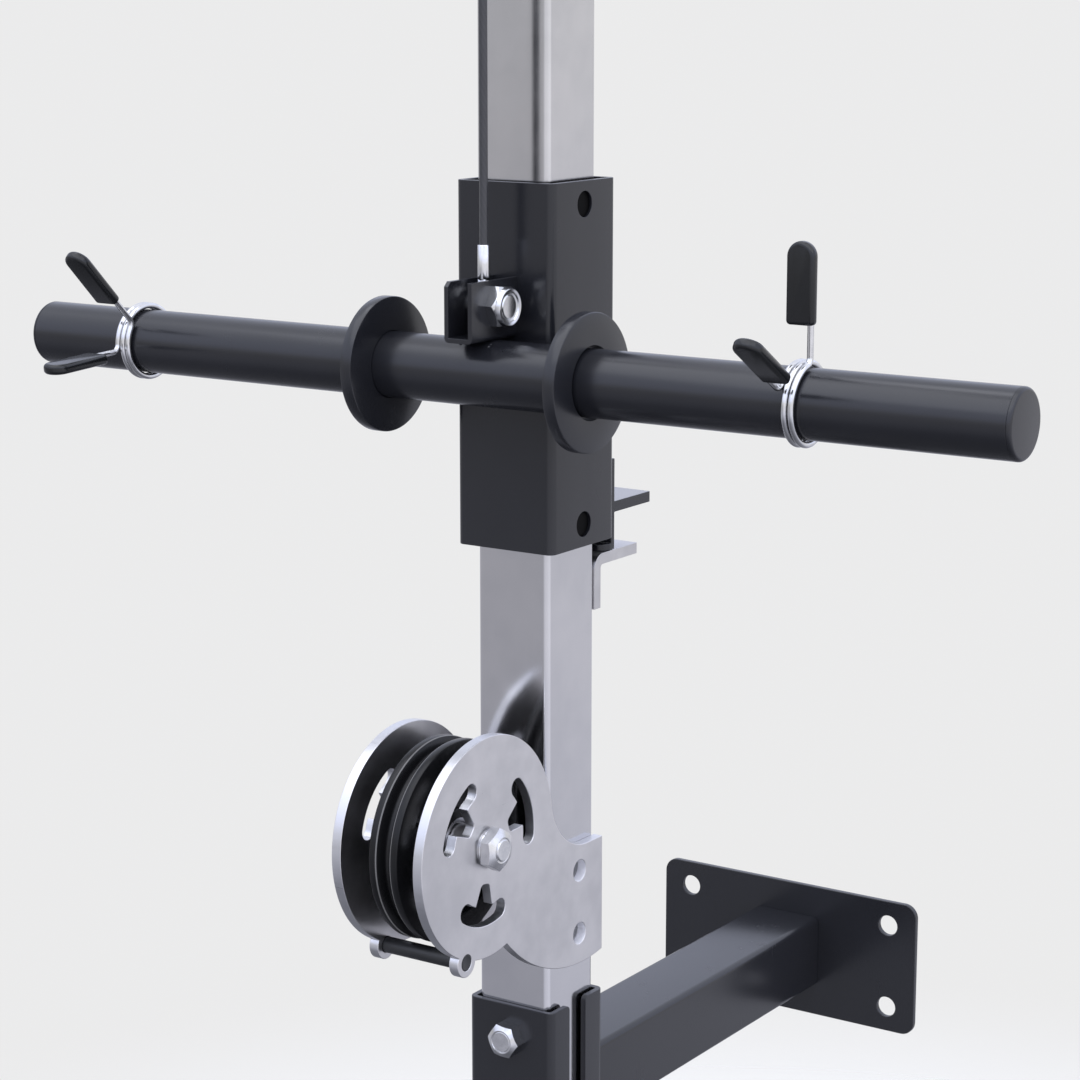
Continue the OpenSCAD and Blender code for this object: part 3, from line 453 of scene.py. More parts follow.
@dataclass(frozen=True)
class MouldedBlack(Finish):
    """Black moulded plastic, vinyl or rubber, with a fine grain."""

    grain_scale: float = 1500.0
    grain_depth: float = 0.05 * MM
    gloss: float = 0.5
    rings_about: Point | None = None
    ring_pitch: float = 0.9 * MM
    # Where the painted highlight on the groove lips lies.
    lip_highlight_radius: float = 74.3 * MM
    lip_highlight_band: tuple[float, float] = (5.7 * MM, 6.7 * MM)

    def build(self) -> Coat:
        """Makes the finish, with a wheel's turned rings and a painted highlight on its groove lips if it has
        them.

        Returns:
            The finish with its slot.
        """
        s = Shader(self.name)
        clouds, grain = s.noise(35.0, 4.0), s.noise(self.grain_scale, 3.0)
        tint = s.blend(clouds * 0.6 + grain * 0.4, self.dark, self.light)
        rough = self.roughness + (clouds - 0.5) * 0.14 + (grain - 0.5) * 0.08
        height = grain
        if self.rings_about is not None:
            x, y, z = s.axes(self.rings_about)
            radius = (y * y + z * z) ** 0.5
            rings = (radius * (2.0 * math.pi / self.ring_pitch)).sine() * 0.5 + 0.5
            height = grain * 0.5 + rings * 0.5
            rough = rough + (rings - 0.5) * 0.05
            # A paler line on the groove lips is a painted highlight where the rim edges catch the light.
            near, far = self.lip_highlight_band
            wear_and_highlight = (radius.step(self.lip_highlight_radius, self.lip_highlight_radius + 0.3 * MM)
                    * abs(x).band(near, near + 0.3 * MM, far, far + 0.2 * MM))
            tint = s.blend(wear_and_highlight * (clouds * 0.6 + 0.4), tint, (0.20, 0.195, 0.19))
        s.relief(height, self.grain_depth, 0.4)
        return Coat(self.slot, s.dress(Base_Color=tint, Roughness=rough,
                                       Specular_IOR_Level=self.gloss))


@dataclass(frozen=True)
class CableJacket(Finish):
    """A dark smooth jacket through which the cable's strands show faintly."""

    slot: str = "cable_coat"
    dark: Point = (0.026, 0.0265, 0.029)
    light: Point = (0.05, 0.05, 0.054)
    roughness: float = 0.33
    axis: Point = (0.0, 0.0, 0.0)
    lay: float = 42 * MM
    strands: int = 6

    def build(self) -> Coat:
        """Makes the finish.

        Returns:
            The finish with its slot.
        """
        s = Shader(self.name)
        x, y, z = s.axes(self.axis)
        twist = y.angle(x) * self.strands + z * (2.0 * math.pi * self.strands / self.lay)
        ridge = twist.sine() * 0.5 + 0.5
        scuff = s.noise(300.0, 4.0, (1.0, 1.0, 0.2))
        tint = s.blend(scuff * 0.7 + ridge * 0.3, self.dark, self.light)
        s.relief(ridge * 0.7 + scuff * 0.3, 0.16 * MM, 0.25)
        return Coat(self.slot, s.dress(Base_Color=tint, Specular_IOR_Level=0.5,
                                       Roughness=self.roughness + (scuff - 0.5) * 0.12))


class Finishes:
    """The finishes that several pieces share, made once."""

    def __init__(self) -> None:
        """Makes the materials."""
        black = (0.010, 0.0105, 0.0115), (0.020, 0.021, 0.023)
        # The upright's bores behind the side plates carry the painted highlight on their walls.
        self.tube = SatinSteel("satin_tube", "satin_steel", (0.55, 0.55, 0.565),
                               (0.63, 0.622, 0.632), 0.145, painted_bright_bores=lobe_bores(*Level)).build()
        self.angle = SatinSteel("satin_angle", "plate_steel", (0.54, 0.533, 0.54),
                                (0.69, 0.68, 0.68), 0.32, (0.02, 1.0, 1.0), 20.0).build()
        self.coat = PowderCoat("black_powder_coat").build()
        self.zinc = BrightPlate("bright_zinc", "zinc", (0.58, 0.585, 0.60),
                                (0.76, 0.76, 0.765), 0.17, 0.06).build()
        self.chrome = BrightPlate("spring_chrome", "spring_chrome", (0.60, 0.60, 0.61),
                                  (0.74, 0.74, 0.74), 0.14, 0.08).build()
        self.turned = BrightPlate("turned_steel", "bearing_steel", (0.45, 0.45, 0.47),
                                  (0.62, 0.62, 0.64), 0.24, 0.1).build()
        self.plastic = MouldedBlack("moulded_plastic", "black_plastic", *black, 0.4).build()
        # The glides are black plastic, painted darker and duller than the rest to stand for the shade they
        # sit in inside the sleeve.
        self.liner = MouldedBlack("liner_plastic", "black_plastic", (0.0004, 0.0004, 0.0005),
                                  (0.0012, 0.0012, 0.0014), 0.5, gloss=0.05).build()
        self.vinyl = MouldedBlack("dipped_vinyl", "grip_vinyl", (0.004, 0.0045, 0.005),
                                  (0.009, 0.0095, 0.0105), 0.2, 300.0, 0.006 * MM, 0.42).build()
        self.rubber = MouldedBlack("ball_rubber", "black_rubber", *black, 0.5, 1100.0,
                                   0.1 * MM).build()


# Modelling ------------------------------------------------------------------------------


class Workshop:
    """The operators that shape every new piece."""

    def start(self, primitive: Callable, name: str, **settings: object) -> bpy.types.Object:
        """Adds a primitive at its size and place, to be shaped further.

        Args:
            primitive: The operator that adds it.
            name: Its name.
            settings: The operator's settings.

        Returns:
            The primitive, with its object at the origin.
        """
        bpy.ops.object.select_all(action="DESELECT")
        primitive(**{"location": (0.0, 0.0, 0.0), **settings})
        obj = bpy.context.view_layer.objects.active
        obj.name = obj.data.name = name
        bpy.ops.object.transform_apply(location=True, rotation=True, scale=True)
        return obj

    def block(self, name: str, size: Point, place: Point) -> bpy.types.Object:
        """Adds a block of a size about a place, to be rounded."""
        return self.start(bpy.ops.mesh.primitive_cube_add, name, size=1.0, location=place,
                          scale=size)

    def pick(self, obj: bpy.types.Object) -> bpy.types.Object:
        """Selects one object alone and makes it active.

        Args:
            obj: The object.

        Returns:
            The same object.
        """
        bpy.ops.object.select_all(action="DESELECT")
        obj.select_set(True)
        bpy.context.view_layer.objects.active = obj
        return obj

    def settle(self, obj: bpy.types.Object, where: Matrix | None = None,
               angle: float = 35.0, doubles: float = 1e-7) -> bpy.types.Object:
        """Moves a piece to its place, closes its seams and smooths its round faces.

        Args:
            obj: The piece.
            where: Its move from the bench, or None if it is in place.
            angle: Edges sharper than this stay crisp, in degrees.
            doubles: The distance within which vertices are joined.

        Returns:
            The piece, with its object at the origin.
        """
        self.pick(obj)
        if where is not None:
            obj.matrix_world = where @ obj.matrix_world
        bpy.ops.object.transform_apply(location=True, rotation=True, scale=True)
        bpy.ops.object.mode_set(mode="EDIT")
        bpy.ops.mesh.select_all(action="SELECT")
        bpy.ops.mesh.remove_doubles(threshold=doubles)
        bpy.ops.mesh.normals_make_consistent(inside=False)
        bpy.ops.object.mode_set(mode="OBJECT")
        bpy.ops.object.shade_smooth_by_angle(angle=math.radians(angle))
        return obj

    def modify(self, obj: bpy.types.Object, kind: str, **settings: object) -> None:
        """Applies one modifier.

        Args:
            obj: The piece.
            kind: The modifier's type.
            settings: Its settings.
        """
        step = self.pick(obj).modifiers.new(kind, kind)
        for key, value in settings.items():
            setattr(step, key, value)
        bpy.ops.object.modifier_apply(modifier=step.name)

    def soften(self, obj: bpy.types.Object, width: float, segments: int, angle: float
               ) -> bpy.types.Object:
        """Rounds a piece's crisp edges with an applied Bevel modifier.

        Args:
            obj: The piece.
            width: The rounding's width, in metres.
            segments: Faces across the rounding.
            angle: Edges sharper than this are rounded, in degrees.

        Returns:
            The piece.
        """
        self.modify(obj, "BEVEL", width=width, segments=segments, limit_method="ANGLE",
                    angle_limit=math.radians(angle), miter_outer="MITER_ARC",
                    harden_normals=True, use_clamp_overlap=True)
        return obj

    def round_off(self, obj: bpy.types.Object, chosen: Callable[..., bool], width: float,
                  segments: int) -> None:
        """Rounds the edges that a test chooses.

        Args:
            obj: The piece.
            chosen: The test of one edge.
            width: The rounding's width, in metres.
            segments: Faces across the rounding.
        """
        self.pick(obj)
        bpy.ops.object.mode_set(mode="EDIT")
        bpy.ops.mesh.select_mode(type="EDGE")
        bpy.ops.mesh.select_all(action="DESELECT")
        mesh = bmesh.from_edit_mesh(obj.data)
        for edge in mesh.edges:
            edge.select_set(chosen(edge))
        mesh.select_flush_mode()
        bmesh.update_edit_mesh(obj.data)
        bpy.ops.mesh.bevel(offset=width, segments=segments, profile=0.5)
        bpy.ops.object.mode_set(mode="OBJECT")

    def folded(self, node: str, name: str, width: float, segments: int) -> bpy.types.Object:
        """Copies a CAD node, merges its triangles into whole faces and rounds its cut edges.

        Args:
            node: The CAD node.
            name: The new piece's name.
            width: The rounding's width, in metres.
            segments: Faces across the rounding.

        Returns:
            The piece.
        """
        obj = bpy.data.objects.new(name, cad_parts[node].data.copy())
        obj.data.name = name
        obj.data.materials.clear()
        bpy.context.scene.collection.objects.link(obj)
        self.pick(obj)
        bpy.ops.mesh.customdata_custom_splitnormals_clear()
        bpy.ops.object.mode_set(mode="EDIT")
        bpy.ops.mesh.select_all(action="SELECT")
        bpy.ops.mesh.remove_doubles(threshold=2e-6)
        bpy.ops.mesh.dissolve_limited(angle_limit=math.radians(0.6))
        bpy.ops.object.mode_set(mode="OBJECT")
        bpy.ops.object.shade_smooth_by_angle(angle=math.radians(28.0))
        return self.soften(obj, width, segments, 40.0)

    def turned(self, name: str, profile: Profile, steps: int = 96,
               where: Matrix | None = None, angle: float = 0.0) -> bpy.types.Object:
        """A profile drawn point by point and spun about the upright axis.

        Args:
            name: The piece's name.
            profile: The profile; a ring's last pair repeats its first.
            steps: Steps of the spin.
            where: The piece's move from the bench, if it has one.
            angle: Edges sharper than this stay crisp, in degrees; 0 leaves it as spun.

        Returns:
            The piece.
        """
        obj = self.start(bpy.ops.mesh.primitive_plane_add, name, size=MM)
        bpy.ops.object.mode_set(mode="EDIT")
        bpy.ops.mesh.select_all(action="SELECT")
        bpy.ops.mesh.merge(type="CENTER")
        bpy.ops.transform.translate(value=(profile[0][0] * MM, 0.0, profile[0][1] * MM))
        for (r0, h0), (r1, h1) in zip(profile, profile[1:]):
            bpy.ops.mesh.extrude_vertices_move(
                TRANSFORM_OT_translate={"value": ((r1 - r0) * MM, 0.0, (h1 - h0) * MM)})
        bpy.ops.mesh.select_all(action="SELECT")
        bpy.ops.mesh.spin(steps=steps, angle=2.0 * math.pi, center=(0.0, 0.0, 0.0),
                          axis=(0.0, 0.0, 1.0))
        bpy.ops.mesh.select_all(action="SELECT")
        bpy.ops.mesh.remove_doubles(threshold=1e-6)
        bpy.ops.mesh.normals_make_consistent(inside=False)
        bpy.ops.object.mode_set(mode="OBJECT")
        return self.settle(obj, where, angle) if angle else obj

    def swept(self, name: str, path: Sequence[Sequence[float]], radius: float,
              resolution: int) -> bpy.types.Object:
        """A round bar along a path, made a mesh.

        Args:
            name: The piece's name.
            path: Points in the row frame.
            radius: The bar's radius, in metres.
            resolution: The round's resolution.

        Returns:
            The piece.
        """
        curve = self.start(bpy.ops.curve.primitive_nurbs_path_add, name).data
        curve.splines.clear()
        spline = curve.splines.new("POLY")
        spline.points.add(len(path) - 1)
        for point, place in zip(spline.points, path):
            point.co = (*place, 1.0)
        curve.dimensions, curve.twist_mode = "3D", "MINIMUM"
        curve.bevel_depth, curve.bevel_resolution = radius, resolution
        curve.use_fill_caps = True
        bpy.ops.object.convert(target="MESH")
        return self.settle(bpy.context.view_layer.objects.active, angle=50.0, doubles=1e-6)

    def joined(self, name: str, parts: Sequence[bpy.types.Object]) -> bpy.types.Object:
        """Makes one object of one or several.

        Args:
            name: Its name.
            parts: What it is made of.

        Returns:
            The object.
        """
        obj = self.pick(parts[0])
        for part in parts[1:]:
            part.select_set(True)
        if len(parts) > 1:
            bpy.ops.object.join()
        obj.name = obj.data.name = name
        return obj


SHOP = Workshop()


@dataclass(frozen=True)
class Fastener:
    """A bolt with a dished hexagon head and its lock nut, sized in millimetres."""

    flats: float
    shank: float
    head: float = 10.0
    nut: float = 12.0
    washer: float = 0.0
    recess: float = 1.6
    collar: float = 4.0
    pitch: float = 2.0
    threads: int = 6

    @property
    def corner(self) -> float:
        """The hexagon's radius over its corners."""
        return self.flats / 2.0 / math.cos(math.pi / 6.0)

    def trimmed(self, height: float, shoulder: float, crown: float, slope: float,
                top: Profile, phase: float) -> bpy.types.Object:
        """A hexagonal prism trimmed by a turned barrel, as a machined head is.

        Args:
            height: The prism's height.
            shoulder: The height at which the chamfer ends.
            crown: The radius there.
            slope: The chamfer's slope, in degrees.
            top: The turned face from there inward.
            phase: The hexagon's turn, in degrees.

        Returns:
            The piece, standing on the bench.
        """
        wide = self.corner + 1.0
        drop = (wide - crown) * math.tan(math.radians(slope))
        barrel = [(0.0, -1.0), (wide, -1.0), (wide, shoulder - drop), (crown, shoulder), *top]
        prism = SHOP.start(bpy.ops.mesh.primitive_cylinder_add, "hexagon", vertices=6,
                           radius=self.corner * MM, depth=height * MM,
                           location=(0.0, 0.0, height * MM / 2.0),
                           rotation=(0.0, 0.0, math.radians(phase)))
        trim = SHOP.turned("trim", barrel, 72)
        SHOP.modify(prism, "BOOLEAN", operation="INTERSECT", solver="EXACT", object=trim)
        bpy.data.objects.remove(trim, do_unlink=True)
        return SHOP.settle(prism)

    def headed(self, phase: float, where: Matrix) -> bpy.types.Object:
        """A bolt head with a dished face.

        Args:
            phase: The hexagon's turn, in degrees.
            where: The head's move from the bench, with its seat at the foot.

        Returns:
            The head in its place.
        """
        h, f = self.head, self.flats
        top = [(f * 0.355, h), (f * 0.345, h - 0.5), (f * 0.325, h - 0.5), (f * 0.31, h - 0.3),
               (0.0, h - 0.3)]
        head = self.trimmed(h, h, f * 0.385, 32.0, top, phase)
        return SHOP.settle(SHOP.soften(head, 0.25 * MM, 2, 20.0), where, 25.0)

    def shafted(self, length: float, where: Matrix) -> bpy.types.Object:
        """A shank below the head, with a few threads and a chamfer at its far end.

        Args:
            length: The shank's length, in metres.
            where: The head's move from the bench.

        Returns:
            The shank in its place.
        """
        r, end, run = self.shank / 2.0, -length / MM, 16.0
        profile = [(0.0, 1.0), (r, 1.0), (r, end + run)]
        for k in range(self.threads):
            top = end + run - self.pitch * k
            profile += [(r - 0.9, top - self.pitch / 2.0), (r, top - self.pitch)]
        profile += [(r - 1.2, end), (0.0, end)]
        return SHOP.turned("shank", profile, 64, where, 25.0)

    def nutted(self, phase: float, where: Matrix) -> bpy.types.Object:
        """A nut with its chamfer and a round face with the bolt's end in it.

        Args:
            phase: The hexagon's turn, in degrees.
            where: The nut's move from the bench.

        Returns:
            The nut in its place.
        """
        f, bolt = self.flats, self.shank / 2.0
        foot = self.washer + (0.7 if self.washer else 0.0)
        high = self.nut - foot
        if self.recess:
            dish = high - self.recess
            hexed = self.trimmed(high + 1.0, high - self.collar, f * 0.495, 36.0, [
                (f * 0.485, high - 1.0), (f * 0.475, high - 0.4), (f * 0.455, high),
                (f * 0.39, high - 0.5), (f * 0.37, dish), (bolt + 1.0, dish - 0.3),
                (bolt, dish + 0.4), (0.0, dish + 0.4)], phase)
        else:
            hexed = self.trimmed(high + 1.0, high, bolt + 1.5, 24.0, [
                (bolt + 0.7, high - 0.3), (bolt + 0.1, high - 0.3), (bolt, high + 0.3),
                (bolt - 0.7, high + 0.9), (0.0, high + 0.9)], phase)
        parts = [SHOP.settle(SHOP.soften(hexed, 0.2 * MM, 2, 20.0),
                             Matrix.Translation((0.0, 0.0, foot * MM)))]
        if self.washer:
            rim, neck = f * 0.49, f * 0.44
            parts.append(SHOP.turned("washer_face", [
                (bolt, 0.0), (rim - 0.3, 0.0), (rim, 0.3), (rim, self.washer - 0.4),
                (rim - 0.4, self.washer), (neck, self.washer), (neck, foot + 0.2),
                (bolt, foot + 0.2), (bolt, 0.0)], angle=40.0))
        return SHOP.settle(SHOP.joined("nut", parts), where, 25.0)


@dataclass(frozen=True)
class SwagedEye:
    """An eye with a flat tongue that runs into a swaged sleeve, sized in millimetres."""

    node: str
    hole: float
    turn: float
    rim: float = 5.0
    thick: float = 4.0
    sleeve: float = 4.5
    sleeve_length: float = 26.0
    cable: float = 3.2

    def build(self) -> bpy.types.Object:
        """Makes the eye about the origin and moves it to its node.

        Returns:
            The piece in its place.
        """
        low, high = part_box(self.node)
        hole, rim, thick, r, tall = (self.hole, self.hole + self.rim, self.thick, self.sleeve,
                                     self.sleeve_length)
        centre = middle(self.node)
        centre.z = low.z + rim * MM
        base = (high.z - centre.z) / MM - tall
        eye = SHOP.turned("eye", mirrored([
            (hole, 1.0 - thick), (hole + 1.0, -thick), (rim - 1.0, -thick),
            (rim, 1.0 - thick)]), 64, Way.RIGHT.stand((0.0, 0.0, 0.0)), 40.0)
        foot, top = (rim - 2.5) * MM, (base + 2.0) * MM
        neck = SHOP.block("neck", ((2.0 * thick - 1.0) * MM, 8 * MM, top - foot),
                          (0.0, 0.0, (foot + top) / 2.0))
        SHOP.settle(SHOP.soften(neck, 1.4 * MM, 4, 30.0), angle=40.0)
        swage = SHOP.turned("swage", [
            (0.0, base - 0.5), (r - 1.2, base - 0.5), (r - 0.2, base + 1.2), (r, base + 2.0),
            (r, base + tall - 0.4), (r - 0.3, base + tall), (self.cable, base + tall),
            (self.cable, base + tall / 2.0), (0.0, base + tall / 2.0)], 64, angle=40.0)
        turn = Matrix.Rotation(math.radians(self.turn), 4, "Z")
        return SHOP.settle(SHOP.joined(self.node + "_swaged", [eye, neck, swage]),
                           Matrix.Translation(centre) @ turn, 40.0)


# Sub-assemblies -------------------------------------------------------------------------


@dataclass(frozen=True)
class Piece:
    """A finished piece, its finish, the CAD node that it stands for, and its body."""

    obj: bpy.types.Object
    coat: Coat
    node: str
    body: str

    def hand_over(self) -> None:
        """Gives the piece its finish and body, and hides the CAD node that it stands for."""
        self.obj.data.materials.clear()
        self.obj.data.materials.append(self.coat.material)
        if "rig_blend" not in self.obj:
            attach(self.obj, self.body)
        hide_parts(self.node)
        LOG.info("%s on %s for %s, %d faces", self.obj.name, self.body, self.node,
                 len(self.obj.data.polygons))


@dataclass
class Assembly:
    """A sub-assembly, which keeps its pieces until all the others are made too."""

    finishes: Finishes
    pieces: list[Piece] = field(default_factory=list, init=False)
    body: ClassVar[str] = "frame"

    def add(self, obj: bpy.types.Object, coat: Coat, node: str, body: str = "") -> None:
        """Keeps a piece, which rides on the sub-assembly's body if none is named."""
        self.pieces.append(Piece(obj, coat, node, body or self.body))

    def fold(self, coat: Coat, node: str, name: str, width: float, segments: int) -> None:
        """Keeps a copy of a CAD node with cut edges of a width in millimetres."""
        self.add(SHOP.folded(node, name, width * MM, segments), coat, node)

    def cross_bolt(self, fastener: Fastener, stem: str, phase: float) -> None:
        """Keeps a bolt that goes in from the left, and its nut.

        Args:
            fastener: Its sizes.
            stem: What the names of its two CAD nodes start with.
            phase: The nut's turn, in degrees.
        """
        bolt, nut = stem + "bolt", stem + "nut"
        (low, high), seat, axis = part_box(bolt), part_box(nut)[0].x, middle(nut)
        face = low.x + fastener.head * MM
        left = Way.LEFT.stand((face, axis.y, axis.z))
        parts = [fastener.headed(0.0, left), fastener.shafted(high.x - face, left)]
        self.add(SHOP.joined(bolt + "_zinc", parts), self.finishes.zinc, bolt)
        nutted = fastener.nutted(phase, Way.RIGHT.stand((seat, axis.y, axis.z)))
        self.add(SHOP.joined(nut + "_zinc", [nutted]), self.finishes.zinc, nut)

    def hand_over(self) -> None:
        """Hands over every piece."""
        for piece in self.pieces:
            piece.hand_over()


@dataclass
class Upright(Assembly):
    """The square upright and its two plugs."""

    def build(self) -> None:
        """Makes the upright and its plugs."""
        self.fold(self.finishes.tube, "upright", "upright_tube", 0.4, 2)
        for node in ("top_cap", "bottom_cap"):
            self.fold(self.finishes.plastic, node, node + "_plug", 1.2, 4)


@dataclass
class WallBracket(Assembly):
    """Two clamp channels, an arm and a wall plate, held by two through bolts."""

    name: str
    fastener: Fastener = Fastener(24.0, 16.0, 12.5)
    head_seat: float = 10 * MM
    head_phase: float = 25.0

    def build(self) -> None:
        """Makes the bracket."""
        for part, width in (("front_clamp", 0.9), ("rear_clamp", 0.9), ("wall_arm", 0.5),
                            ("wall_plate", 0.8)):
            node = f"{self.name}_{part}"
            self.fold(self.finishes.coat, node, node + "_coated", width, 3)
        bolts, nuts = f"{self.name}_clamp_bolts", f"{self.name}_clamp_nuts"
        (low, high), nut_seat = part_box(bolts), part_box(nuts)[0].y
        seat, corner = low.y + self.head_seat, self.fastener.corner * MM
        made: dict[str, list[bpy.types.Object]] = {bolts: [], nuts: []}
        for z in (low.z + corner, high.z - corner):
            front = Way.FRONT.stand((0.0, seat, z))
            made[bolts] += [self.fastener.headed(self.head_phase, front),
                            self.fastener.shafted(high.y - seat, front)]
            made[nuts].append(self.fastener.nutted(0.0, Way.BACK.stand((0.0, nut_seat, z))))
        for node, parts in made.items():
            self.add(SHOP.joined(node + "_zinc", parts), self.finishes.zinc, node)


@dataclass
class StopBracket(Assembly):
    """The angle that the carriage lands on, with its two round-headed screws."""

    socket: float = 4.0
    head: float = 6.0
    shank: float = 5.0
    shank_length: float = 13.0

    def build(self) -> None:
        """Makes the angle and its screws."""
        self.fold(self.finishes.angle, "stop_bracket", "stop_angle", 0.5, 2)
        low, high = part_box("stop_bracket_bolts")
        r, h, socket, bolt = (high.z - low.z) / 2.0 / MM, self.head, self.socket, self.shank
        profile = [(0.0, h - 3.0), (socket, h - 3.0), (socket, h - 0.3), (socket + 0.4, h),
                   (r - 1.6, h), (r - 0.4, h - 0.5), (r, h - 1.6), (r, 0.3), (r - 0.3, 0.0),
                   (bolt, 0.0), (bolt, -self.shank_length), (0.0, -self.shank_length)]
        screws = [SHOP.turned("screw", profile, 48, Way.BACK.stand(
            (x, high.y - h * MM, (low.z + high.z) / 2.0)), 35.0)
            for x in (low.x + r * MM, high.x - r * MM)]
        self.add(SHOP.joined("stop_screws", screws), self.finishes.zinc, "stop_bracket_bolts")


@dataclass
class PulleyBlock(Assembly):
    """Two side plates, a wheel on a bearing, its axle, and the guard rod, in millimetres."""

    level: Level
    fastener: Fastener = Fastener(28.5, 16.0, nut=12.3, washer=1.6, recess=0.0)
    nut_phase: float = 30.0
    rim: float = 75.0
    rim_inner: float = 57.5
    hub: float = 24.5
    bore: float = 17.5
    half_width: float = 12.5
    half_web: float = 5.0
    groove: float = 66.5
    groove_round: float = 3.6
    spokes: int = 6

    @property
    def stem(self) -> str:
        """What the names of the block's nodes start with."""
        return self.level.name.lower() + "_"

    def build(self) -> None:
        """Makes the block."""
        # The side plates' bores also carry the painted highlight on their walls.
        cut = SatinSteel(self.stem + "side_plate", "plate_steel", (0.55, 0.546, 0.556),
                         (0.70, 0.69, 0.695), 0.31, (1.0, 0.02, 1.0), 14.0, 0.04, True,
                         lobe_bores(self.level)).build()
        for node in (self.stem + "plate_left", self.stem + "plate_right"):
            self.fold(cut, node, node + "_cut", 0.7, 3)
        self.cross_bolt(self.fastener, self.stem + "axle_", self.nut_phase)
        self.fold(self.finishes.angle, self.stem + "axle_spacers",
                  self.stem + "axle_spacer_rings", 0.5, 2)
        node = self.stem + "guard_rod"
        half, _, r = (middle(node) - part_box(node)[0]) / MM
        rod = mirrored([(0.0, 0.2 - half), (r - 1.1, 0.2 - half), (r - 0.8, -half),
                        (r - 0.3, 0.1 - half), (r, 0.5 - half)], closed=False)
        self.add(SHOP.turned(node + "_bar", rod, 64, Way.RIGHT.stand(middle(node)), 40.0),
                 self.finishes.plastic, node)
        self.turning(self.stem + "pulley", middle(self.stem + "wheel"))

    def turning(self, body: str, centre: Vector) -> None:
        """Makes the grooved wheel, its ribs and its bearing.

        Args:
            body: The body that they turn with.
            centre: The wheel's middle.
        """
        half, rim, inner, hub = self.half_width, self.rim, self.rim_inner, self.hub
        side = [(self.bore, -half), (hub - 0.8, -half), (hub, 0.8 - half),
                (hub, -self.half_web), (inner, -self.half_web), (inner, 0.8 - half),
                (inner + 0.8, -half), (rim - 1.0, -half), (rim - 0.3, 0.3 - half),
                (rim, 1.0 - half), (rim, -6.6), (rim - 0.4, -5.9)]
        seat = self.groove_round
        groove = [(self.groove + seat - deep, across) for deep, across in (
            polar(seat, 15.0 * k - 90.0) for k in range(13))]
        where = Way.RIGHT.stand(centre)
        parts = [SHOP.turned("wheel", mirrored(side, groove), 160, where, 30.0)]
        for k in range(self.spokes):
            rib = SHOP.block("rib", (36 * MM, 4 * MM, 20 * MM), (41 * MM, 0.0, 0.0))
            turn = Matrix.Rotation(2.0 * math.pi * k / self.spokes, 4, "Z")
            parts.append(SHOP.settle(SHOP.soften(rib, 1.2 * MM, 3, 30.0), where @ turn, 35.0))
        moulded = MouldedBlack(self.stem + "wheel_plastic", "black_plastic",
                               (0.003, 0.003, 0.0034), (0.007, 0.0072, 0.008), 0.30, 1800.0,
                               0.04 * MM, 0.3, tuple(centre)).build()
        self.add(SHOP.joined(self.stem + "wheel_moulded", parts), moulded,
                 self.stem + "wheel", body)
        races = mirrored([(8.05, -half), (11.0, -half), (11.4, 0.8 - half),
                          (14.6, 0.8 - half), (15.0, -half), (17.45, -half)])
        self.add(SHOP.turned(self.stem + "bearing_ring", races, 96, where, 30.0),
                 self.finishes.turned, self.stem + "bearing", body)


@dataclass
class Carriage(Assembly):
    """The sleeve with its glides and the channel on its back."""

    body: ClassVar[str] = "carriage"
    landing: float = 37 * MM

    def build(self) -> None:
        """Makes the sleeve, the channel and the glides."""
        wear_and_highlight = PowderCoat("coat_with_bare_landing",
                          bare_above=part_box("rear_tab")[0].z + self.landing).build()
        self.fold(self.finishes.coat, "sleeve", "sleeve_coated", 0.5, 2)
        self.fold(wear_and_highlight, "rear_tab", "rear_tab_welded", 0.6, 2)
        # The glides wear the black plastic that is darkened as painted shade.
        for node in ("upper_glide", "lower_glide"):
            self.fold(self.finishes.liner, node, node + "_liner", 0.8, 3)


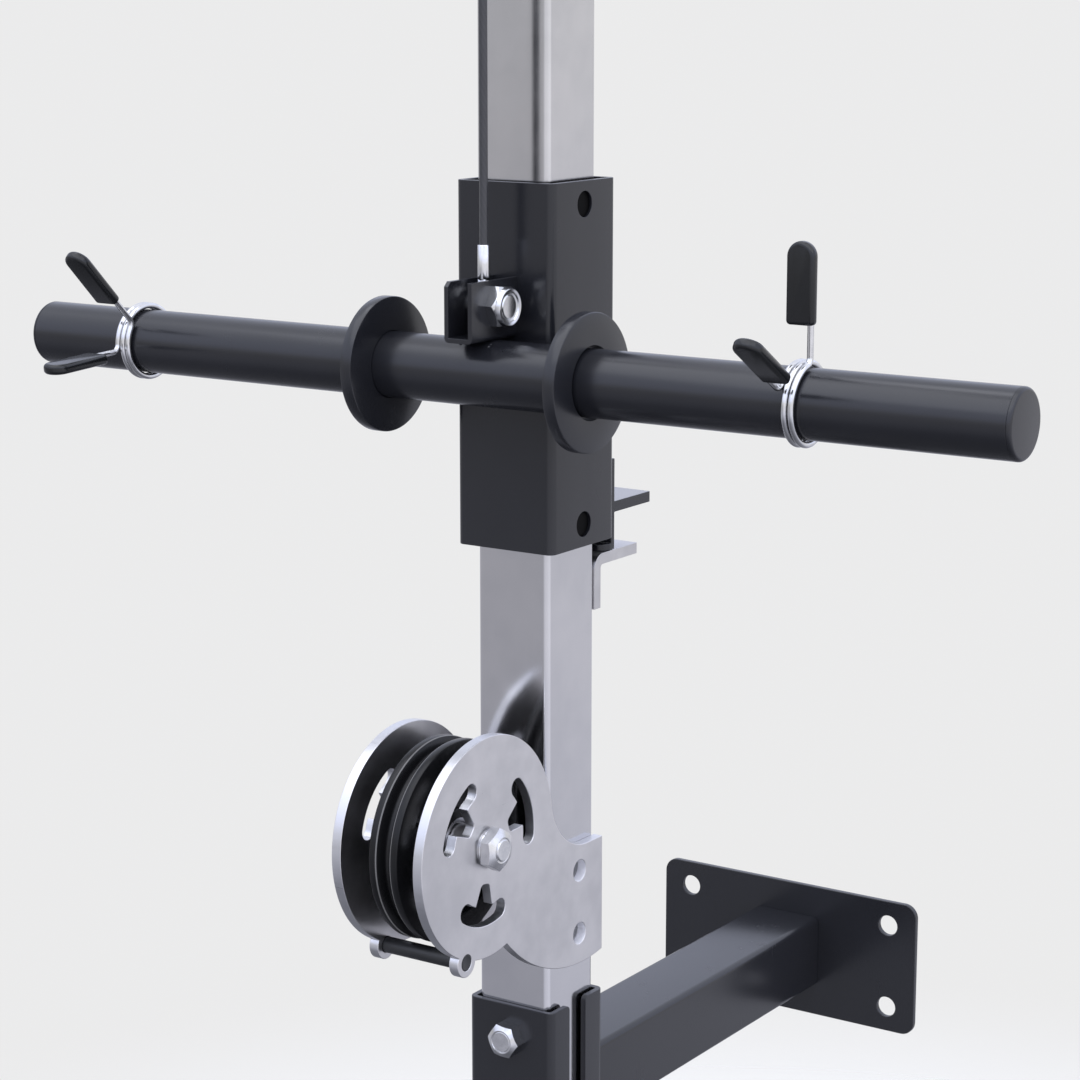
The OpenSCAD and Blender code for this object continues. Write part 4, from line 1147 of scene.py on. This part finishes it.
@dataclass
class WeightBar(Assembly):
    """The round bar, its closed ends, its plate stops and the welds, in millimetres."""

    body: ClassVar[str] = "carriage"
    radius: float = 24.5
    wall: float = 5.0
    half_length: float = 422.0
    end_round: float = 3.0
    disc_radius: float = 50.0
    disc_near: float = 83.0
    disc_width: float = 10.0
    relief: float = 26.25

    def build(self) -> None:
        """Makes the bar and all that is welded on it."""
        axis = middle("weight_bar")
        where = Way.RIGHT.stand((0.0, axis.y, axis.z))
        r, inner, seam = self.radius, self.radius - self.wall, self.half_length - self.end_round
        tube = mirrored([(inner, 0.2 - seam), (r - 0.3, 0.2 - seam), (r, 0.5 - seam),
                         (r, -200.0)], [(r, 0.0)])
        made = [(SHOP.turned("bar_tube", tube, 128, where, 30.0), "weight_bar")]
        ends = [SHOP.turned("cap", self.end_profile(), 128, where @ side.flip(), 30.0)
                for side in Side]
        made.append((SHOP.joined("bar_closed_ends", ends), "bar_end_caps"))
        for side in Side:
            name = side.name.lower()
            made.append((SHOP.turned(name + "_stop_disc", self.disc_profile(), 144,
                                     where @ side.flip(), 30.0), name + "_plate_stop"))
        made.append((self.welds(axis), "carriage_welds"))
        for obj, node in made:
            self.add(obj, self.finishes.coat, node)

    def end_profile(self) -> Profile:
        """The closed end with its round rim.

        Returns:
            The profile.
        """
        r, bend = self.radius, self.end_round
        start, bore = self.half_length - bend, r - self.wall - 0.2
        rim = [polar(bend, 90.0 * k / 8.0) for k in range(1, 9)]
        return [(0.0, start - 8.0), (bore, start - 8.0), (bore, start), (r, start),
                *((r - bend + out, start + up) for out, up in rim), (0.0, self.half_length)]

    def disc_profile(self) -> Profile:
        """A plate stop with round edges, relieved round the bar.

        Returns:
            The profile.
        """
        r, near, far = self.disc_radius, self.disc_near, self.disc_near + self.disc_width
        bar, relief = self.radius + 0.05, self.relief
        return [(bar, near + 0.7), (bar + 0.55, near), (r - 1.2, near), (r - 0.35, near + 0.35),
                (r, near + 1.2), (r, far - 1.2), (r - 0.35, far - 0.35), (r - 1.2, far),
                (relief + 0.6, far), (relief, far - 0.6), (relief, far - 5.0),
                (bar, far - 5.0), (bar, near + 0.7)]

    def welds(self, axis: Vector) -> bpy.types.Object:
        """Lays rippled beads along the sleeve and along the clevis's foot.

        Args:
            axis: The bar's middle.

        Returns:
            The beads.
        """
        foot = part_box("cable_clevis")[1].x / MM + 0.2
        seams = [((0.0, 18.5, side * 17.5), (72.0, 0.0), 0.0, 26, 4.6, (0.7, 1.0, 1.0))
                 for side in (-1, 1)]
        seams += [((side * foot, 0.0, self.radius - 1.2), (0.0, 24.0), 10.0, 9, 1.7,
                   (0.8, 0.75, 0.8)) for side in (-1, 1)]
        beads = []
        for (x, y, z), (run_x, run_y), drop, count, size, squash in seams:
            for k in range(count):
                t = k / (count - 1) - 0.5
                place = Vector((x + t * run_x, y + t * run_y, z - t * t * drop))
                bead = SHOP.start(bpy.ops.mesh.primitive_uv_sphere_add, "bead", segments=12,
                                  ring_count=8, radius=size * MM, scale=squash,
                                  location=Vector((0.0, axis.y, axis.z)) + place * MM)
                beads.append(SHOP.settle(bead, angle=60.0))
        return SHOP.joined("weld_beads", beads)


@dataclass
class Clevis(Assembly):
    """The bent channel on the bar, its bolt and nut, and the cable's eye."""

    body: ClassVar[str] = "carriage"
    fastener: Fastener = Fastener(28.5, 16.0, nut=11.5)
    nut_phase: float = -5.0

    def build(self) -> None:
        """Makes the clevis and what it holds."""
        self.fold(self.finishes.coat, "cable_clevis", "clevis_bent", 0.7, 3)
        self.cross_bolt(self.fastener, "clevis_", self.nut_phase)
        self.add(SwagedEye("cable_eye", 8.3, 0.0).build(), self.finishes.zinc, "cable_eye")


@dataclass
class Cable(Assembly):
    """The lifting cable: a drop that shortens, a turn over the wheel and a free tail."""

    radius: float = 3.15 * MM
    travel: float = 0.9
    turn_radius: float = 70 * MM
    hold: float = 12 * MM

    def build(self) -> None:
        """Makes the cable's three stretches."""
        for node, name, cuts in (("cable_drop", "cable_jacket", 120),
                                 ("cable_tail", "tail_jacket", 60)):
            (low, high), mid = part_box(node), middle(node)
            path = [(mid.x, mid.y, low.z + (high.z - low.z) * k / cuts)
                    for k in range(cuts + 1)]
            run = SHOP.swept(node + "_run", path, self.radius, 6)
            jacket = CableJacket(name, axis=(mid.x, mid.y, 0.0)).build()
            self.add(run, jacket, node)
        # The tail is the run made last, and its jacket goes on over the wheel.
        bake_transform(run, "frame", "cable_end", start=(mid.x, mid.y, high.z),
                 end=(mid.x, mid.y, low.z + self.hold))
        wheel = middle("high_bearing")
        arc = [(wheel.x, wheel.y + back, wheel.z + up) for back, up in (
            polar(self.turn_radius, a) for a in range(0, 181, 3))]
        self.add(SHOP.swept("cable_over_wheel", arc, self.radius, 6), jacket,
                 "cable_over_pulley")

    def hand_over(self) -> None:
        """Hands over the stretches, and gives the drop a mesh of its own."""
        super().hand_over()
        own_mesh(self.pieces[0].obj)


@dataclass
class HandEnd(Assembly):
    """The stop ball, the tail's eye and the carabiner with its gate."""

    body: ClassVar[str] = "cable_end"
    rod: float = 4 * MM
    bend: float = 16 * MM
    stub: float = 6 * MM
    ball_bore: float = 3.3

    def build(self) -> None:
        """Makes the hand end."""
        zinc = self.finishes.zinc
        ball = middle("stop_ball")
        r = (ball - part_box("stop_ball")[0]).z / MM
        profile = [(self.ball_bore, 0.4 - r)]
        profile += [polar(r - (0.35 if k == 16 else 0.0), 180.0 * k / 32.0 - 90.0)
                    for k in range(4, 29)]
        profile += [(self.ball_bore, r - 0.4), profile[0]]
        self.add(SHOP.turned("stop_ball_moulded", profile, 96, Matrix.Translation(ball), 30.0),
                 self.finishes.rubber, "stop_ball")
        self.add(SwagedEye("tail_eye", 6.0, 90.0).build(), zinc, "tail_eye")
        self.add(self.ring(), zinc, "carabiner", "clip")
        low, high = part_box("carabiner_gate")
        r, run = (high.x - low.x) / 2.0 / MM, (high.z - low.z) / MM
        pin = [(out, r + up) for out, up in (polar(r, a - 90.0) for a in range(0, 91, 10))]
        pin += [(r, run * 0.45), (r - 0.4, run * 0.46), (r - 0.4, run * 0.54),
                (r, run * 0.55), (r, run - 0.6), (r - 0.6, run), (0.0, run)]
        foot = middle("carabiner_gate")
        foot.z = low.z
        self.add(SHOP.turned("carabiner_gate_pin", pin, 48, Matrix.Translation(foot), 30.0),
                 zinc, "carabiner_gate", "clip_gate")

    def ring(self) -> bpy.types.Object:
        """Bends the carabiner's rod, open where the gate closes it.

        Returns:
            The ring.
        """
        (low, high), mid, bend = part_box("carabiner"), middle("carabiner"), self.bend
        top, foot = high.z - self.rod - bend, low.z + self.rod + bend
        path = [(mid.x, mid.y - bend, top - self.stub)]
        for way, level in ((1.0, top), (-1.0, foot)):
            path += [(mid.x, mid.y - way * front, level + way * up) for front, up in (
                polar(bend, a) for a in range(0, 181, 5))]
        path.append((mid.x, mid.y - bend, foot + self.stub))
        return SHOP.soften(SHOP.swept("carabiner_ring", path, self.rod, 6), 0.5 * MM, 2, 50.0)


@dataclass
class SpringCollar(Assembly):
    """A wound collar with two arms that end in dipped grips, in millimetres and degrees."""

    side: Side
    upper: float
    lower: float
    foot_lower: float
    bar: float = 24.5
    wire: float = 2.25
    gap: float = 0.9
    pitch: float = 5.1
    offset: float = 4.0
    bend: float = 6.0
    foot_upper: float = 53.0
    hold: float = 18.0
    grip: Point = (21.0, 8.0, 56.0)
    skin: float = 1.0
    turns: int = 2
    rings: int = 72

    @staticmethod
    def outward(angle: float) -> Vector:
        """The unit vector away from the bar at an angle above the front, as Y and Z."""
        return Vector(polar(1.0, 180.0 - angle))

    def wire_at(self, angle: float, reach: float) -> Vector:
        """A point of the straight arm at an angle, at a reach from the bar's axis."""
        return self.offset * self.outward(angle - 90.0) + reach * self.outward(angle)

    def path(self) -> list[Vector]:
        """The wire's centre line from the upper grip to the lower one, about the bar.

        Returns:
            The line's points, in metres.
        """
        coil = self.bar + self.gap + self.wire
        reach, bend = coil + self.bend, self.bend
        upper_in = math.degrees(math.asin((self.offset + bend) / reach))
        lower_in = math.degrees(math.asin((self.offset - bend) / reach))
        start, stop = self.upper - upper_in, self.lower - lower_in
        sweep = start - stop + 360.0 * self.turns
        steps = round(self.rings * sweep / 360.0)
        half = self.pitch * sweep / 720.0
        foot_upper, foot_lower = self.foot_upper + self.hold, self.foot_lower + self.hold
        flat = [(half, self.wire_at(self.upper, foot_upper + (reach - foot_upper) * k / 7.0))
                for k in range(7)]
        flat += [(half, reach * self.outward(start) + bend * self.outward(
            self.upper + 90.0 + (90.0 - upper_in) * k / 12.0)) for k in range(13)]
        flat += [(half * (1.0 - 2.0 * k / steps), coil * self.outward(start - sweep * k / steps))
                 for k in range(1, steps)]
        flat += [(-half, reach * self.outward(stop) + bend * self.outward(
            stop + 180.0 + (90.0 + lower_in) * k / 12.0)) for k in range(13)]
        flat += [(-half, self.wire_at(self.lower, reach + (foot_lower - reach) * k / 7.0))
                 for k in range(1, 8)]
        return [Vector((x, point.x, point.y)) * MM for x, point in flat]

    def build(self) -> None:
        """Makes the spring and its grips."""
        name = self.side.name.lower()
        bar = middle("weight_bar")
        at = Vector((middle(f"{name}_collar_spring").x, bar.y, bar.z))
        path = self.path()
        half, body, arm = path[0].x, f"{name}_collar", f"{name}_collar_arm"
        spring = SHOP.swept(f"{name}_spring_wire", [at + p for p in path], self.wire * MM, 5)
        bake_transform(spring, body, arm, start=(at.x - half, at.y, at.z),
                 end=(at.x + half, at.y, at.z))
        self.add(spring, self.finishes.chrome, f"{name}_collar_spring", body)
        for which, way, rider in (("lower", -1, body), ("upper", 1, arm)):
            node = f"{name}_{which}_grip"
            self.add(self.paddle(node + "_dipped", way, at + Vector((way * half, 0.0, 0.0))),
                     self.finishes.vinyl, node, rider)

    def paddle(self, name: str, way: int, at: Vector) -> bpy.types.Object:
        """Models one dipped grip.

        Args:
            name: Its name.
            way: 1 for the upper grip and -1 for the lower one.
            at: The point on the bar's axis that its wire passes.

        Returns:
            The grip in its place.
        """
        width, thick, length = (size * MM for size in self.grip)
        angle, foot = ((self.upper, self.foot_upper) if way > 0
                       else (self.lower, self.foot_lower))
        obj = SHOP.block(name, (width, thick, length), (0.0, 0.0, length / 2.0))
        for end, rounding, segments in ((length, width * 0.497, 20), (0.0, 3 * MM, 6)):
            SHOP.round_off(obj, lambda e: abs(e.verts[0].co.y - e.verts[1].co.y) > MM and all(
                abs(v.co.z - end) < MM and abs(v.co.x) > width / 2.0 - MM for v in e.verts),
                rounding, segments)
        SHOP.soften(obj, 3.1 * MM, 7, 55.0)
        wire_x, wire = way * (width / 2.0 - (self.wire + self.skin) * MM), self.wire
        lip = SHOP.turned("lip", [
            (wire + 0.1, -1.6), (wire + 0.7, -1.4), (wire + 1.0, 0.0), (wire + 1.0, 1.5),
            (wire + 0.1, 1.5), (wire + 0.1, -1.6)], 32, Matrix.Translation((wire_x, 0.0, 0.0)),
            50.0)
        point = self.wire_at(angle, foot) * MM
        place = Matrix.Translation(at + Vector((-wire_x, point.x, point.y)))
        return SHOP.settle(SHOP.joined(name, [obj, lip]), place @ Matrix.Rotation(
            math.radians(90.0 - angle), 4, "X"), 45.0)


# Studio ---------------------------------------------------------------------------------


@dataclass
class Studio:
    """The camera at the photograph's angle, a soft lamp, a pale floor and a pale room."""

    eye: Point = (1.1492, -2.1165, 0.8573)
    yaw: float = 33.84
    pitch: float = 11.49
    lens: float = 93.46
    pale: Point = (0.832, 0.832, 0.836)
    floor_pale: Point = (0.72, 0.713, 0.685)
    floor_z: float = -0.6
    lamp_place: Point = (0.6, -1.4, 3.8)
    lamp_aim: Point = (0.2, -0.4, 0.5)
    lamp_size: tuple[float, float] = (7.0, 4.0)
    lamp_watts: float = 90.0
    lamp_colour: Point = (0.87, 0.90, 1.0)
    room: tuple[tuple[float, Point], ...] = (
        (0.0, (0.13, 0.135, 0.155)), (0.18, (0.20, 0.205, 0.24)), (0.32, (0.47, 0.48, 0.55)),
        (0.44, (0.54, 0.54, 0.58)), (0.52, (0.58, 0.58, 0.59)), (0.60, (0.70, 0.74, 0.92)),
        (0.74, (0.76, 0.81, 0.98)), (1.0, (0.84, 0.85, 0.90)))
    glows: tuple[tuple[Point, float, float, float], ...] = (
        ((0.83, -0.56, 0.0), 0.2, 0.8, 0.62), ((-0.39, -0.58, 0.715), 0.62, 0.86, 0.65),
        ((-0.36, 0.22, 0.906), 0.975, 0.998, 2.4))

    def build(self) -> None:
        """Makes the camera, the lamp, the floor and the world."""
        yaw, pitch = math.radians(self.yaw), math.radians(self.pitch)
        camera = bpy.data.cameras.new("camera")
        camera.lens, camera.sensor_width, camera.clip_start = self.lens, 36.0, 0.05
        bpy.context.scene.camera = self.hang(camera, self.eye, Vector((
            -math.sin(yaw) * math.cos(pitch), math.cos(yaw) * math.cos(pitch),
            -math.sin(pitch))))
        lamp = bpy.data.lights.new("overhead", "AREA")
        lamp.color, lamp.energy, lamp.shape = self.lamp_colour, self.lamp_watts, "RECTANGLE"
        lamp.size, lamp.size_y = self.lamp_size
        ahead = Vector(self.lamp_aim) - Vector(self.lamp_place)
        self.hang(lamp, self.lamp_place, ahead).visible_camera = False
        self.world()
        self.floor()
        bpy.context.scene.view_settings.view_transform = "Standard"

    def hang(self, data: bpy.types.ID, place: Point, ahead: Vector) -> bpy.types.Object:
        """Hangs the camera or the lamp.

        Args:
            data: What is hung.
            place: Where it hangs.
            ahead: Which way it looks.

        Returns:
            Its object.
        """
        obj = bpy.data.objects.new(data.name, data)
        bpy.context.scene.collection.objects.link(obj)
        obj.location = place
        obj.rotation_mode = "QUATERNION"
        obj.rotation_quaternion = ahead.to_track_quat("-Z", "Y")
        return obj

    def world(self) -> None:
        """Makes a pale room: even to the camera, softly shaded to all else."""
        world = bpy.data.worlds.new("room")
        bpy.context.scene.world = world
        world.use_nodes = True
        g = Graph(world.node_tree)
        way = g.node("ShaderNodeTexCoord", {}, {}).outputs["Generated"]
        ramp = g.node("ShaderNodeValToRGB", {"stops": self.room},
                      {0: g.split(way)[2] * 0.5 + 0.5})
        level = Signal(g, g.vector("DOT_PRODUCT", way, (0.56, 0.83, 0.0)).outputs["Value"])
        level = level * 0.27 + 1.22
        for toward, start, full, gain in self.glows:
            glow = Signal(g, g.vector("DOT_PRODUCT", way, toward).outputs["Value"])
            level = level + glow.step(start, full) * gain
        room = g.node("ShaderNodeBackground", {}, {0: ramp.outputs[0], 1: level})
        seen = g.node("ShaderNodeBackground", {}, {0: self.pale})
        path = g.node("ShaderNodeLightPath", {}, {})
        mix = g.node("ShaderNodeMixShader", {}, {
            0: path.outputs["Is Camera Ray"], 1: room.outputs[0], 2: seen.outputs[0]})
        g.node("ShaderNodeOutputWorld", {}, {0: mix.outputs[0]})

    def floor(self) -> None:
        """Lays a round pale floor that fades into the room."""
        obj = SHOP.start(bpy.ops.mesh.primitive_circle_add, "studio_floor", vertices=96,
                         radius=6.0, fill_type="NGON", location=(0.0, 0.0, self.floor_z))
        s = Shader("pale_floor")
        x, y, _ = s.axes()
        s.dress(Base_Color=self.floor_pale, Roughness=0.9, Specular_IOR_Level=0.1)
        clear = s.node("ShaderNodeBsdfTransparent", {}, {})
        mix = s.node("ShaderNodeMixShader", {}, {
            0: ((x * x + y * y) ** 0.5).step(0.5, 1.6), 1: s.surface.outputs[0],
            2: clear.outputs[0]})
        s.feed(s.output.inputs["Surface"], mix.outputs[0])
        obj.data.materials.append(s.material)
        obj.visible_glossy = False


def main() -> None:
    """Builds the tower's sub-assemblies in order."""
    logging.basicConfig(level=logging.INFO, format="%(message)s")
    Studio().build()
    finishes = Finishes()
    assemblies = (
        Upright(finishes), WallBracket(finishes, "lower"), WallBracket(finishes, "upper"),
        StopBracket(finishes), PulleyBlock(finishes, Level.LOW),
        PulleyBlock(finishes, Level.HIGH), Carriage(finishes), WeightBar(finishes),
        Clevis(finishes), Cable(finishes), HandEnd(finishes),
        SpringCollar(finishes, Side.LEFT, 45.0, -3.0, 58.0),
        SpringCollar(finishes, Side.RIGHT, 90.0, 32.0, 47.0),
    )
    for assembly in assemblies:
        assembly.build()
    for assembly in assemblies:
        assembly.hand_over()


if __name__ == "__main__":
    main()
